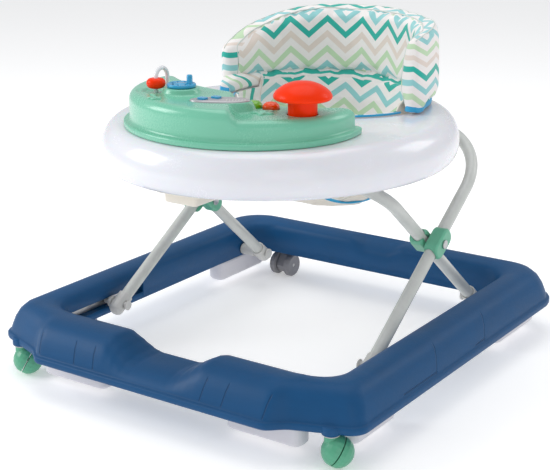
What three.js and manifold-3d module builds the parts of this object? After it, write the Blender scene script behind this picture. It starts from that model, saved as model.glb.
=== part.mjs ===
// Baby walker: a blue ring base on six friction pads and four casters, a folding scissor frame of two
// tube hoops, an oval tray with a lift-off toy tray, and a hanging fabric seat with a padded back.
// Millimetres, +Z up, front towards -Y, +X to the right seen from the front. The origin is on the floor
// under the centre of the base.

import * as THREE from 'three';
import { mergeVertices } from 'three/addons/utils/BufferGeometryUtils.js';
import Module from 'manifold-3d';

const wasm = await Module();
wasm.setup();

// ---------------------------------------------------------------- driving dimensions

const GAP = 0.3;                    // air left between pieces that touch
const SIDES = [1, -1];              // right and left of the middle plane

// Base ring
const BASE_HALF_WIDTH = 320;
const BASE_HALF_LENGTH = 353;
const BASE_FLOOR_Z = 50;
const BASE_TOP_Z = 107;
const RIM_TOP_Z = 61;
const INNER_HALF_WIDTH = 252;
const INNER_FRONT_Y = -262;
const INNER_REAR_Y = 287;
const FRONT_STRAIGHT_X = 195;
const FRONT_CORNER = { x: 294, y: -279, r: 26 };
const REAR_CORNER = { x: 260, y: 293, r: 60 };
const INNER_FRONT_RADIUS = 42;
const INNER_REAR_RADIUS = 45;
const DIP_HALF_WIDTH = 92;
const DIP_DEPTH = 27;
const SCOOP_HALF_WIDTH = 68;
const SCOOP_DEPTH = 17;

// Guide slots for the front feet
const SLOT_REAR_Y = -45;
const SLOT_FRONT_Y = -226;
const SLOT_LOW_Z = 61;
const SLOT_HIGH_Z = 77;
const SLOT_DEPTH = 14;

// Scissor frame, seen from the side: hoop A leans to the rear, hoop B to the front
const TUBE_RADIUS = 9.5;
const BORE_RADIUS = 9.85;
const FOOT_A = { x: 232, y: -127, z: 69 };
const FOOT_B = { x: 210, y: 240, z: 62 };
const HUB = { y: 76.07, z: 199.56 };
const HUB_AX = 226;
const HUB_BX = 204;
const CROSSBAR_A = { y: 281.1, z: 331.4 };
const CROSSBAR_B = { y: -56.1, z: 310.4 };
const HOOP_A_BEND = 130;
const HOOP_B_BEND = 68;
const TUBE_TAIL = 11;               // tube past the foot's pin
const PIN_RADIUS = 5;
const PIVOT_RADIUS = 6;
const RIVET_RADIUS = 3.5;

// Tray ring
const TRAY = { x: 262, y: 290, cy: -6 };
const TRAY_TOP_Z = 388;
const HOLE = { x: 158, y: 128, cy: 116 };
const NOTCH_Z = 347;

// Toy tray
const TOY = { x: 180, y: 167, cy: -105 };
const TOY_BACK = { radius: 232, deckRadius: 237, lean: 11, lowZ: 414, highZ: 441 };
const TOY_FLANGE_Z = 397;
const TOY_RIGHT_Z = 426;
const TOY_LEFT_Z = 440;

// Seat
const SEAT_CY = 100;
const PAD_OUTER = 182;
const PAD_INNER = 150;
const PAD_TOP_Z = 525;
const PAD_REACH = 97;
const BAND_REACH = 104;
const CREASE_Z = 411;
const SLING_TOP_Z = 388;
const SLING_LOW_Z = 222;
const SLING_SEAM_Z = 341;
const FABRIC = 5;

// Casters
const BALL_RADIUS = 22.5;
const FRONT_STEM = { x: 278, y: -304 };
const FRONT_TRAIL = { x: 7.4, y: 5 };
const REAR_STEM = { x: 208, y: 322 };
const REAR_WHEEL_Y = 313;
const REAR_WHEEL_RADIUS = 21;

// Colours and finishes
const finish = (color, roughness, metalness = 0) => () => new THREE.MeshStandardMaterial({
  color, roughness, metalness,
});
const BLUE = finish(0x225a90, 0.55);
const WHITE = finish(0xe6e6ee, 0.35);
const PAD_WHITE = finish(0xe4e2e6, 0.6);
const CREAM = finish(0xebe4d7, 0.5);
const TUBE_GREY = finish(0xc8cbc8, 0.35, 0.2);
const CAP_GREY = finish(0xd4d6d6, 0.5);
const STEEL = finish(0xb8babd, 0.3, 1);
const MINT = finish(0x7cc5aa, 0.4);
const HUB_GREEN = finish(0x5faf91, 0.45);
const WHEEL_GREY = finish(0x828084, 0.5);
const ORANGE = finish(0xf04b14, 0.3);
const LENS_GREEN = finish(0x58a818, 0.2);
const CYAN = finish(0x1496c3, 0.4);
const RED = finish(0xc02028, 0.4);
const SILVER = finish(0xb7aeb2, 0.35);
const BLACK = finish(0x26282a, 0.6);
const FABRIC_PRINT = finish(0xe8ece6, 0.9);
const FABRIC_PLAIN = finish(0xe4ded4, 0.9);

// ---------------------------------------------------------------- geometry helpers

const degrees = (angle) => THREE.MathUtils.degToRad(angle);
const smooth = (t) => 0.5 - 0.5 * Math.cos(Math.PI * THREE.MathUtils.clamp(t, 0, 1));

// One closed body from any three.js geometry: shared vertices merged, slivers dropped, faces out.
function closed(geometry) {
  const plain = geometry.clone();
  plain.deleteAttribute('normal');
  plain.deleteAttribute('uv');
  const merged = mergeVertices(plain, 1e-4);
  const points = merged.attributes.position;
  const corners = [...merged.index.array];
  const kept = [];
  let volume = 0;
  const [a, b, c] = [new THREE.Vector3(), new THREE.Vector3(), new THREE.Vector3()];
  for (let i = 0; i < corners.length; i += 3) {
    const [p, q, r] = corners.slice(i, i + 3);
    if (p === q || q === r || r === p) continue;
    kept.push(p, q, r);
    a.fromBufferAttribute(points, p);
    b.fromBufferAttribute(points, q);
    c.fromBufferAttribute(points, r);
    volume += a.dot(b.cross(c));
  }
  if (volume < 0) kept.reverse();
  const result = new THREE.BufferGeometry();
  result.setAttribute('position', points.clone());
  result.setIndex(kept);
  result.computeVertexNormals();
  return result;
}

function toSolid(geometry) {
  const body = closed(geometry);
  return new wasm.Manifold(new wasm.Mesh({
    numProp: 3,
    vertProperties: new Float32Array(body.attributes.position.array),
    triVerts: new Uint32Array(body.index.array),
  }));
}

function toGeometry(solid) {
  const mesh = solid.getMesh();
  const geometry = new THREE.BufferGeometry();
  geometry.setAttribute('position', new THREE.BufferAttribute(mesh.vertProperties, 3));
  geometry.setIndex(new THREE.BufferAttribute(mesh.triVerts, 1));
  geometry.computeVertexNormals();
  return geometry;
}

const join = (first, ...rest) => toGeometry(rest.reduce((s, g) => s.add(toSolid(g)), toSolid(first)));
const cut = (first, ...rest) => toGeometry(rest.reduce((s, g) => s.subtract(toSolid(g)), toSolid(first)));
const keep = (first, second) => toGeometry(toSolid(first).intersect(toSolid(second)));

function moved(geometry, x, y, z) {
  return geometry.clone().translate(x, y, z);
}

const mirrored = (geometry, side) => closed(geometry.clone().scale(side, 1, 1));

function boxBetween(x, y, z) {
  const size = [x, y, z].map(([low, high]) => high - low);
  const middle = [x, y, z].map(([low, high]) => (low + high) / 2);
  return new THREE.BoxGeometry(...size).translate(...middle);
}

// A rod or drill along X, from one x to another.
function rodX(radius, x0, x1, sides = 12) {
  const rod = new THREE.CylinderGeometry(radius, radius, Math.abs(x1 - x0), sides);
  return rod.rotateZ(Math.PI / 2).translate((x0 + x1) / 2, 0, 0);
}

const rodY = (radius, y0, y1, sides = 12) => new THREE.CylinderGeometry(radius, radius, y1 - y0, sides)
  .translate(0, (y0 + y1) / 2, 0);

const rodZ = (radius, z0, z1, sides = 12) => new THREE.CylinderGeometry(radius, radius, z1 - z0, sides)
  .rotateX(Math.PI / 2).translate(0, 0, (z0 + z1) / 2);

// A turned solid about Z from [radius, z] pairs that start and end on the axis.
function turned(profile, sides = 18) {
  const points = profile.map(([r, z]) => new THREE.Vector2(r, z));
  return new THREE.LatheGeometry(points, sides).rotateX(Math.PI / 2);
}

// The same about X, for pins and rivets.
const turnedX = (profile, sides = 12) => turned(profile, sides).rotateY(Math.PI / 2);

function roundedRect(width, height, radius) {
  const [w, h] = [width / 2 - radius, height / 2 - radius];
  const shape = new THREE.Shape();
  shape.absarc(w, h, radius, 0, Math.PI / 2);
  shape.absarc(-w, h, radius, Math.PI / 2, Math.PI);
  shape.absarc(-w, -h, radius, Math.PI, 1.5 * Math.PI);
  shape.absarc(w, -h, radius, 1.5 * Math.PI, 2 * Math.PI);
  return shape;
}

function ellipseShape(x, y, cy) {
  const shape = new THREE.Shape();
  shape.absellipse(0, cy, x, y, 0, 2 * Math.PI);
  return shape;
}

// A plate of a shape in the XY plane between two heights, with its edges rounded by bevel.
function plate(shape, low, high, bevel = 0, curveSegments = 6) {
  const geometry = new THREE.ExtrudeGeometry(shape, {
    depth: high - low - 2 * bevel,
    curveSegments,
    bevelEnabled: bevel > 0,
    bevelThickness: bevel,
    bevelSize: bevel,
    bevelOffset: -bevel,
    bevelSegments: bevel > 5 ? 2 : 1,
  });
  return geometry.translate(0, 0, low + bevel);
}

// A plate turned to stand in the YZ plane, with its thickness along X.
const alongX = (geometry) => geometry.applyMatrix4(new THREE.Matrix4().makeBasis(
  new THREE.Vector3(0, 1, 0), new THREE.Vector3(0, 0, 1), new THREE.Vector3(1, 0, 0),
));

// Closed rings of points joined one to the next; the last joins the first, or both ends are capped.
function loft(rings, endless) {
  const count = rings.length;
  const size = rings[0].length;
  const points = rings.flat();
  const index = [];
  for (let i = 0; i < (endless ? count : count - 1); i += 1) {
    const [a, b] = [i * size, ((i + 1) % count) * size];
    for (let j = 0; j < size; j += 1) {
      const k = (j + 1) % size;
      index.push(a + j, b + j, b + k, a + j, b + k, a + k);
    }
  }
  if (!endless) {
    for (const [start, turn] of [[0, true], [(count - 1) * size, false]]) {
      const ring = points.slice(start, start + size);
      const middle = ring.reduce((s, p) => s.clone().add(p)).divideScalar(size);
      points.push(middle);
      for (let j = 0; j < size; j += 1) {
        const [p, q] = [start + j, start + ((j + 1) % size)];
        index.push(...(turn ? [q, points.length - 1, p] : [p, points.length - 1, q]));
      }
    }
  }
  const geometry = new THREE.BufferGeometry();
  const numbers = points.flatMap((p) => [p.x, p.y, p.z]);
  geometry.setAttribute('position', new THREE.Float32BufferAttribute(numbers, 3));
  geometry.setIndex(index);
  return closed(geometry);
}

function part(name, geometry, material) {
  const mesh = new THREE.Mesh(closed(geometry), material());
  mesh.name = name;
  return mesh;
}

const sideName = (side) => (side > 0 ? 'right' : 'left');
const span = (side, near, far) => [side * near, side * far].sort((p, q) => p - q);

// ---------------------------------------------------------------- base

const line = (x0, y0, x1, y1) => new THREE.LineCurve(new THREE.Vector2(x0, y0), new THREE.Vector2(x1, y1));
const arc = (x, y, r, from, to) => new THREE.EllipseCurve(x, y, r, r, degrees(from), degrees(to));
const bend = (...xy) =>
  new THREE.CubicBezierCurve(...[0, 2, 4, 6].map((i) => new THREE.Vector2(xy[i], xy[i + 1])));

// Outer and inner outline of the ring's right half, from the front centre round to the rear centre,
// as pairs of curves that are walked together in the same number of steps.
function baseOutlinePairs() {
  const front = -BASE_HALF_LENGTH;
  const [frontRadius, rearRadius] = [INNER_FRONT_RADIUS, INNER_REAR_RADIUS];
  const innerCorner = [INNER_HALF_WIDTH - frontRadius, INNER_FRONT_Y + frontRadius, frontRadius];
  const innerRear = [INNER_HALF_WIDTH - rearRadius, INNER_REAR_Y - rearRadius, rearRadius];
  return [
    [line(0, front, FRONT_STRAIGHT_X, front), line(0, INNER_FRONT_Y, 195, INNER_FRONT_Y), 10],
    [
      bend(FRONT_STRAIGHT_X, front, 214, front, 214, -335, 240, -327),
      line(195, INNER_FRONT_Y, 210, INNER_FRONT_Y), 3,
    ],
    [line(240, -327, 304, -303), arc(...innerCorner, -90, -50), 2],
    [arc(FRONT_CORNER.x, FRONT_CORNER.y, FRONT_CORNER.r, -67, 0), arc(...innerCorner, -50, 0), 4],
    [line(BASE_HALF_WIDTH, FRONT_CORNER.y, BASE_HALF_WIDTH, REAR_CORNER.y),
      line(INNER_HALF_WIDTH, innerCorner[1], INNER_HALF_WIDTH, innerRear[1]), 3],
    [arc(REAR_CORNER.x, REAR_CORNER.y, REAR_CORNER.r, 0, 90), arc(...innerRear, 0, 90), 5],
    [
      line(REAR_CORNER.x, BASE_HALF_LENGTH, 0, BASE_HALF_LENGTH),
      line(innerRear[0], INNER_REAR_Y, 0, INNER_REAR_Y), 7,
    ],
  ];
}

function baseStations() {
  const half = [];
  for (const [outer, inner, steps] of baseOutlinePairs()) {
    for (let i = 0; i < steps; i += 1) {
      half.push({ outer: outer.getPoint(i / steps), inner: inner.getPoint(i / steps) });
    }
  }
  const flip = (p) => new THREE.Vector2(-p.x, p.y);
  const rear = { outer: new THREE.Vector2(0, BASE_HALF_LENGTH), inner: new THREE.Vector2(0, INNER_REAR_Y) };
  const other = half.slice(1).map(({ outer, inner }) => ({ outer: flip(outer), inner: flip(inner) }));
  return [...half, rear, ...other.reverse()];
}

// The rail's section: share of the way from the inner to the outer wall, and height.
const RAIL_SECTION = [
  [0, BASE_FLOOR_Z], [0, 93], [0.05, 100.5], [0.2, 105.5], [0.46, BASE_TOP_Z], [0.64, 103.5],
  [0.78, 93], [0.88, 78], [0.94, RIM_TOP_Z + 1], [1, RIM_TOP_Z - 1.5], [1, BASE_FLOOR_Z],
];

function railRing({ outer, inner }) {
  const atFront = outer.y < -300;
  const dip = atFront ? smooth(1.6 * (1 - Math.abs(outer.x) / DIP_HALF_WIDTH)) : 0;
  const scoop = outer.y > 330 ? smooth(1.6 * (1 - Math.abs(outer.x) / SCOOP_HALF_WIDTH)) : 0;
  return RAIL_SECTION.map(([share, height]) => {
    const above = Math.max(0, height - RIM_TOP_Z - 3) / (BASE_TOP_Z - RIM_TOP_Z - 3);
    const inward = Math.max(0, 1 - share / 0.5);
    const z = height - dip * DIP_DEPTH * above - scoop * SCOOP_DEPTH * above * inward;
    return new THREE.Vector3(...inner.clone().lerp(outer, share), z);
  });
}

function baseFrame() {
  const ring = loft(baseStations().map(railRing), true);
  const bosses = [];
  const holes = [];
  for (const side of SIDES) {
    bosses.push(rodZ(13, 47.4, 60).translate(side * FRONT_STEM.x, FRONT_STEM.y, 0));
    holes.push(rodZ(4.4, 40, 58).translate(side * FRONT_STEM.x, FRONT_STEM.y, 0));
    holes.push(rodZ(5.4, 40, 82).translate(side * REAR_STEM.x, REAR_STEM.y, 0));
    holes.push(rodX(PIVOT_RADIUS + GAP, side * 240, side * 274).translate(0, FOOT_B.y, FOOT_B.z));
    holes.push(boxBetween(
      span(side, INNER_HALF_WIDTH - 10, INNER_HALF_WIDTH + SLOT_DEPTH),
      [SLOT_FRONT_Y, SLOT_REAR_Y],
      [SLOT_LOW_Z, SLOT_HIGH_Z],
    ));
  }
  return part('base_frame', cut(join(ring, ...bosses), ...holes), BLUE);
}

function slideStrips() {
  const wall = INNER_HALF_WIDTH + SLOT_DEPTH;
  return SIDES.map((side) => part(
    `slide_strip_${sideName(side)}`,
    boxBetween(span(side, wall - 2.3, wall - GAP), [SLOT_FRONT_Y + 1, SLOT_REAR_Y - 1],
      [SLOT_LOW_Z + 1, SLOT_HIGH_Z - 1]),
    STEEL,
  ));
}

// Anti-fall pads: rounded blocks under the ring, whose grippy feet hang just above the floor.
function brakePads() {
  const [low, high] = [13, BASE_FLOOR_Z - GAP];
  const pad = (name, length, width, x, y) => part(
    name,
    moved(plate(roundedRect(width, length, 14), low, high, 4, 2), x, y, 0),
    PAD_WHITE,
  );
  return SIDES.flatMap((side) => [
    pad(`brake_pad_front_${sideName(side)}`, 34, 124, side * 170, -293),
    pad(`brake_pad_side_front_${sideName(side)}`, 112, 34, side * 273, -203),
    pad(`brake_pad_side_rear_${sideName(side)}`, 140, 34, side * 273, 250),
  ]);
}

// ---------------------------------------------------------------- casters

// The front wheels are ball casters: a hood and a domed wheel are two halves of a ball that meet on a
// slanted plane, and the wheel turns on the slanted axle through both.
const BALL_AXIS = new THREE.Vector3(FRONT_TRAIL.x, FRONT_TRAIL.y, 0).normalize()
  .multiplyScalar(Math.cos(degrees(30))).add(new THREE.Vector3(0, 0, -0.5)).normalize();

function alongAxle(geometry) {
  const turn = new THREE.Quaternion().setFromUnitVectors(new THREE.Vector3(0, 0, 1), BALL_AXIS);
  return geometry.applyQuaternion(turn);
}

function domeProfile(start, sign) {
  const rows = [[0, start], [BALL_RADIUS - 0.6, start]];
  for (let i = 1; i <= 5; i += 1) {
    const angle = Math.asin(start / BALL_RADIUS) + (i / 5) * (Math.PI / 2 - Math.asin(start / BALL_RADIUS));
    rows.push([BALL_RADIUS * Math.cos(angle), BALL_RADIUS * Math.sin(angle)]);
  }
  return rows.map(([r, z]) => [Math.max(0, r), sign * z]);
}

function frontCaster(side) {
  const name = sideName(side);
  const ball = { x: side * FRONT_STEM.x + FRONT_TRAIL.x, y: FRONT_STEM.y + FRONT_TRAIL.y };
  const stemShape = [
    [0, BALL_RADIUS], [9, BALL_RADIUS], [9.5, 36], [9.5, 45], [4, 45], [4, 57], [0, 57],
  ];
  const collarShape = [[4.4, 45.4], [11, 45.4], [12, 46.2], [12, 47.1], [4.4, 47.1], [4.4, 45.4]];
  const place = (geometry) => moved(geometry, ball.x, ball.y, BALL_RADIUS);
  const stem = moved(turned(stemShape, 16), side * FRONT_STEM.x, FRONT_STEM.y, 0);
  const hoodHalf = place(alongAxle(turned(domeProfile(0.7, -1))));
  const wheelRoom = place(alongAxle(rodZ(BALL_RADIUS + 3, -0.7, 60)));
  const hood = cut(join(hoodHalf, cut(stem, wheelRoom)), place(alongAxle(rodZ(3.3, -13.5, 40))));
  const wheel = cut(place(alongAxle(turned(domeProfile(0.7, 1)))), place(alongAxle(rodZ(3.3, -5, 16))));
  const axle = place(alongAxle(rodZ(3, -13.2, 15.6, 16)));
  return [
    part(`caster_hood_front_${name}`, hood, HUB_GREEN),
    part(`caster_wheel_front_${name}`, wheel, HUB_GREEN),
    part(`caster_axle_front_${name}`, axle, STEEL),
    part(
      `caster_collar_front_${name}`,
      moved(turned(collarShape), side * FRONT_STEM.x, FRONT_STEM.y, 0), CAP_GREY,
    ),
  ];
}

// The rear casters are twin wheels: a narrow yoke with a hub tube through it and a wheel each side.
function rearCaster(side) {
  const name = sideName(side);
  const x = side * REAR_STEM.x;
  const [hub, inside, outside] = [6, 9, 21.5];
  const yokeShape = new THREE.Shape();
  yokeShape.absarc(0, 0, 15.5, Math.PI, 2 * Math.PI);
  yokeShape.lineTo(18, 22.5);
  yokeShape.lineTo(0, 22.5);
  const yokeBlock = alongX(plate(yokeShape, -8.4, 8.4, 1.2, 4)).translate(x, REAR_WHEEL_Y, REAR_WHEEL_RADIUS);
  const stem = moved(turned([[0, 35], [11, 35], [12, 45], [12, 49.7], [5, 49.7], [5, 78], [0, 78]], 16),
    x, REAR_STEM.y, 0);
  const room = REAR_WHEEL_RADIUS + 1.2;
  const wheelTrack = rodX(room, -30, -inside + 0.6).translate(x, REAR_WHEEL_Y, REAR_WHEEL_RADIUS);
  const wheelTrackFar = moved(rodX(room, inside - 0.6, 30), x, REAR_WHEEL_Y, REAR_WHEEL_RADIUS);
  const bore = rodX(hub + GAP, -30, 30).translate(x, REAR_WHEEL_Y, REAR_WHEEL_RADIUS);
  const wheelHalf = [
    [hub, inside], [17, inside], [REAR_WHEEL_RADIUS, inside + 1.5], [REAR_WHEEL_RADIUS, outside - 3],
    [REAR_WHEEL_RADIUS - 2.5, outside], [12, outside - 1],
  ];
  const twin = turnedX([
    [0, -outside + 1],
    ...wheelHalf.slice().reverse().map(([r, z]) => [r, -z]),
    ...wheelHalf,
    [0, outside - 1],
  ], 18);
  const axleBore = rodX(3.3, -30, 30);
  return [
    part(`caster_yoke_rear_${name}`, cut(join(yokeBlock, stem), wheelTrack, wheelTrackFar, bore), WHEEL_GREY),
    part(
      `caster_twin_wheel_rear_${name}`,
      moved(cut(twin, axleBore), x, REAR_WHEEL_Y, REAR_WHEEL_RADIUS), WHEEL_GREY,
    ),
    part(`caster_axle_rear_${name}`, moved(rodX(3, -20, 20, 16), x, REAR_WHEEL_Y, REAR_WHEEL_RADIUS), STEEL),
  ];
}

// ---------------------------------------------------------------- scissor frame

// Angle of each leg above the floor, seen from the side.
const ANGLE_A = Math.atan2(HUB.z - FOOT_A.z, HUB.y - FOOT_A.y);
const ANGLE_B = Math.atan2(HUB.z - FOOT_B.z, FOOT_B.y - HUB.y);

// How much nearer the middle plane a leg gets for each millimetre up it.
const legTaper = (foot, hubX) => (foot.x - hubX) / Math.hypot(HUB.y - foot.y, HUB.z - foot.z);

// A hoop's centre line: up one leg, round a bend, along the crossbar and down the other leg.
class HoopCurve extends THREE.Curve {
  constructor(foot, hubX, bendRadius, crossbar, angle) {
    super();
    const run = Math.hypot(crossbar.y - foot.y, crossbar.z - foot.z);
    const topX = foot.x - legTaper(foot, hubX) * (run - bendRadius);
    Object.assign(this, { foot, topX, bendRadius, angle, run });
    this.leg = run - bendRadius + TUBE_TAIL;
    this.quarter = (Math.PI / 2) * bendRadius;
    this.half = this.leg + this.quarter + topX - bendRadius;
  }

  // Half-width and distance up from the foot's pin, at a length along the tube from the end of one leg.
  half2d(length) {
    const { leg, quarter, bendRadius, topX, run, foot } = this;
    if (length < leg) {
      const share = Math.max(0, (length - TUBE_TAIL) / (leg - TUBE_TAIL));
      return [foot.x + (topX - foot.x) * share, length - TUBE_TAIL];
    }
    if (length < leg + quarter) {
      const turn = (length - leg) / bendRadius;
      return [topX - bendRadius * (1 - Math.cos(turn)), run - bendRadius * (1 - Math.sin(turn))];
    }
    return [topX - bendRadius - (length - leg - quarter), run];
  }

  getPoint(t, target = new THREE.Vector3()) {
    const length = 2 * this.half * t;
    const side = length < this.half ? 1 : -1;
    const [x, up] = this.half2d(side > 0 ? length : 2 * this.half - length);
    return target.set(
      side * x,
      this.foot.y + up * Math.cos(this.angle),
      this.foot.z + up * Math.sin(this.angle),
    );
  }
}

// The hoop's tube: rings close together round the bends and far apart on the straights.
function hoopTube(curve) {
  const { leg, quarter, half, angle } = curve;
  const bends = Array.from({ length: 7 }, (_, i) => leg + (quarter * i) / 6);
  const mirrored = bends.map((l) => 2 * half - l).reverse();
  const lengths = [0, leg / 2, ...bends, half, ...mirrored, 2 * half - leg / 2, 2 * half];
  const flat = new THREE.Vector3(0, -Math.sin(angle), Math.cos(angle));
  const sides = 10;
  return loft(lengths.map((length) => {
    const centre = curve.getPoint(length / (2 * half));
    const across = curve.getTangent(length / (2 * half)).cross(flat).normalize();
    return Array.from({ length: sides }, (_, i) => {
      const turn = (2 * Math.PI * i) / sides;
      return centre.clone()
        .addScaledVector(across, TUBE_RADIUS * Math.cos(turn))
        .addScaledVector(flat, TUBE_RADIUS * Math.sin(turn));
    });
  }), false);
}

const drillFoot = (foot, radius) => SIDES.map((side) => (
  rodX(radius, side * (foot.x - 16), side * (foot.x + 16)).translate(0, foot.y, foot.z)));
const drillHub = () => SIDES.map((side) => rodX(RIVET_RADIUS + GAP, side * 185, side * 245)
  .translate(0, HUB.y, HUB.z));

function hoops() {
  const a = new HoopCurve(FOOT_A, HUB_AX, HOOP_A_BEND, CROSSBAR_A, ANGLE_A);
  const b = new HoopCurve(FOOT_B, HUB_BX, HOOP_B_BEND, CROSSBAR_B, Math.PI - ANGLE_B);
  return [
    part('hoop_a', cut(hoopTube(a), ...drillFoot(FOOT_A, PIN_RADIUS + GAP), ...drillHub()), TUBE_GREY),
    part('hoop_b', cut(hoopTube(b), ...drillFoot(FOOT_B, PIVOT_RADIUS + GAP), ...drillHub()), TUBE_GREY),
  ];
}

// A piece made round the origin with +Y up the leg, placed on a leg of one hoop.
function onLeg(name, geometry, material, x, place, angle) {
  const mesh = part(name, geometry, material);
  mesh.position.set(x, place.y, place.z);
  mesh.rotation.x = angle;
  return mesh;
}

// The bore that a leg leaves in a piece round it.
const legBore = (side, taper, from, to) => rodY(BORE_RADIUS / Math.cos(Math.PI / 12), from, to)
  .rotateZ(side * taper);

function footCap(name, side, foot, hubX, angle, pinRadius) {
  const body = new THREE.LatheGeometry([
    [0, -19], [7.5, -18], [11.4, -14.5], [12.4, -10], [12.4, 17.5], [0, 17.5],
  ].map(([r, y]) => new THREE.Vector2(r, y)), 12);
  const hollow = legBore(side, legTaper(foot, hubX), -TUBE_TAIL - GAP, 30);
  const drill = rodX(pinRadius + GAP, -20, 20);
  return onLeg(name, cut(body, hollow, drill), CAP_GREY, side * foot.x, foot, angle);
}

function feet() {
  const slide = (side) => turnedX([
    [0, 214], [8, 214], [8, 216], [PIN_RADIUS, 216],
    [PIN_RADIUS, 245.2], [9, 245.2], [9, 251.2], [PIN_RADIUS, 251.2],
    [PIN_RADIUS, 262], [0, 262],
  ].map(([r, x]) => [r, side * x]));
  const pivot = (side) => turnedX([
    [0, 193], [9, 193], [9, 196.5], [PIVOT_RADIUS, 196.5], [PIVOT_RADIUS, 223.2], [10, 223.2], [10, 250.6],
    [PIVOT_RADIUS, 250.6], [PIVOT_RADIUS, 270], [0, 270],
  ].map(([r, x]) => [r, side * x]));
  return SIDES.flatMap((side) => [
    footCap(`foot_cap_a_${sideName(side)}`, side, FOOT_A, HUB_AX, ANGLE_A, PIN_RADIUS),
    footCap(`foot_cap_b_${sideName(side)}`, side, FOOT_B, HUB_BX, Math.PI - ANGLE_B, PIVOT_RADIUS),
    part(`slide_pin_${sideName(side)}`, moved(slide(side), 0, FOOT_A.y, FOOT_A.z), CAP_GREY),
    part(`pivot_pin_${sideName(side)}`, moved(pivot(side), 0, FOOT_B.y, FOOT_B.z), CAP_GREY),
  ]);
}

// Hub connectors: a clamp round the outer leg and a cradle round the inner leg face each other, open
// where the legs pass, and turn on one rivet.
function hubHalf(side, length, height, from, to, taper, corner) {
  const block = alongX(plate(roundedRect(length, height, corner), from, to, 2.4, 3));
  const drill = rodX(RIVET_RADIUS + GAP, -40, 40);
  return cut(mirrored(block, side), legBore(side, taper, -60, 60), drill);
}

function hubs() {
  const rivet = (side) => turnedX([
    [0, 187], [7, 187.6], [7, 189.9], [RIVET_RADIUS, 189.9], [RIVET_RADIUS, 213.9], [9, 213.9],
    [9, 216.1], [RIVET_RADIUS, 216.1], [RIVET_RADIUS, 240.1], [7, 240.1], [7, 242.4], [0, 243],
  ].map(([r, x]) => [r, side * x]));
  return SIDES.flatMap((side) => [
    onLeg(`hub_clamp_${sideName(side)}`, hubHalf(side, 52, 29, -9, 13.8, legTaper(FOOT_A, HUB_AX), 13),
      HUB_GREEN, side * HUB_AX, HUB, ANGLE_A),
    onLeg(`hub_cradle_${sideName(side)}`, hubHalf(side, 46, 27, -13.8, 9, legTaper(FOOT_B, HUB_BX), 12),
      HUB_GREEN, side * HUB_BX, HUB, Math.PI - ANGLE_B),
    part(`hub_rivet_${sideName(side)}`, moved(rivet(side), 0, HUB.y, HUB.z), STEEL),
  ]);
}

// ---------------------------------------------------------------- tray and what hangs under it

// A point on an ellipse at an angle, moved inward (positive) or outward by a distance.
function onEllipse({ x, y, cy }, angle, inward, z) {
  const [c, s] = [Math.cos(angle), Math.sin(angle)];
  const normal = new THREE.Vector2(c / x, s / y).normalize();
  return new THREE.Vector3(x * c - inward * normal.x, cy + y * s - inward * normal.y, z);
}

// The tray's section: distance in from the outer edge and height, then distance out from the hole's edge
// and height, then back under the top and down inside the skirt.
const SKIRT_OUTSIDE = [
  [7, 325], [2.4, 333], [0, 348], [2, 362], [7.5, 375], [15.5, 383.5], [26, TRAY_TOP_Z],
];
const HOLE_EDGE = [[4, TRAY_TOP_Z], [0, 384.5], [0, 373], [4, 373], [5, 384]];
const SKIRT_INSIDE = [[25, 384], [13, 376], [6.5, 362], [4.4, 348], [6.5, 334], [11, 325]];

function tray() {
  const rings = [];
  const steps = 48;
  for (let i = 0; i < steps; i += 1) {
    const angle = (2 * Math.PI * i) / steps;
    rings.push([
      ...SKIRT_OUTSIDE.map(([d, z]) => onEllipse(TRAY, angle, d, z)),
      ...HOLE_EDGE.map(([d, z]) => onEllipse(HOLE, angle, -d, z)),
      ...SKIRT_INSIDE.map(([d, z]) => onEllipse(TRAY, angle, d, z)),
    ]);
  }
  const notch = boxBetween([-152, 152], [205, 320], [300, NOTCH_Z]);
  return part('tray', cut(loft(rings, true), notch), WHITE);
}

function heightLock() {
  const upper = moved(plate(roundedRect(73, 114, 5), 316, 376, 2, 2), 0, -211, 0);
  const lower = moved(plate(roundedRect(56, 98, 5), 302, 330, 2, 2), 0, -211, 0);
  const hollow = boxBetween([-32.5, 32.5], [-264, -158], [320, 380]);
  const leverWay = boxBetween([11, 45], [-179, -163], [319, 331]);
  return part('height_lock_housing', cut(join(upper, lower), hollow, leverWay), CREAM);
}

function lockLever() {
  const stem = boxBetween([18, 44], [-178.5, -163.5], [319.5, 330.5]);
  const tab = moved(plate(roundedRect(4, 22, 1.9), 305, 333, 0, 2), 44.5, -171, 0);
  return part('lock_lever', join(stem, tab), RED);
}

// The channel in which the front crossbar slides as the frame folds.
function heightGuide() {
  const block = boxBetween([-34, 34], [-150, -34], [297, 383.6]);
  const channel = boxBetween([-40, 40], [-143, -42], [299.4, 322.2]);
  const hollow = boxBetween([-30, 30], [-146, -38], [326, 390]);
  return part('height_guide', cut(block, channel, hollow), CREAM);
}

// Each rear bracket: a ring round the rear crossbar on an arm that leans forward up into the tray.
function rearBrackets() {
  const { y, z } = CROSSBAR_A;
  const arm = new THREE.Shape([
    [y - 7, z - 12], [y - 7, z + 10], [y - 15, z + 12],
    [257.5, 374.5], [246, 382.4], [243.5, 382.4], [243.5, 372],
    [256, z], [262, z - 12],
  ].map(([along, up]) => new THREE.Vector2(along, up)));
  return SIDES.map((side) => {
    const [near, far] = span(side, 51, 73);
    const ring = rodX(14, near, far, 20).translate(0, y, z);
    const bore = rodX(BORE_RADIUS / Math.cos(Math.PI / 20), near - 5, far + 5, 20).translate(0, y, z);
    const body = join(ring, alongX(plate(arm, near, far)));
    return part(`rear_bracket_${sideName(side)}`, cut(body, bore), CREAM);
  });
}

// ---------------------------------------------------------------- toy tray

const toyOutline = (inset) => ellipseShape(TOY.x - inset, TOY.y - inset, TOY.cy);

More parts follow.
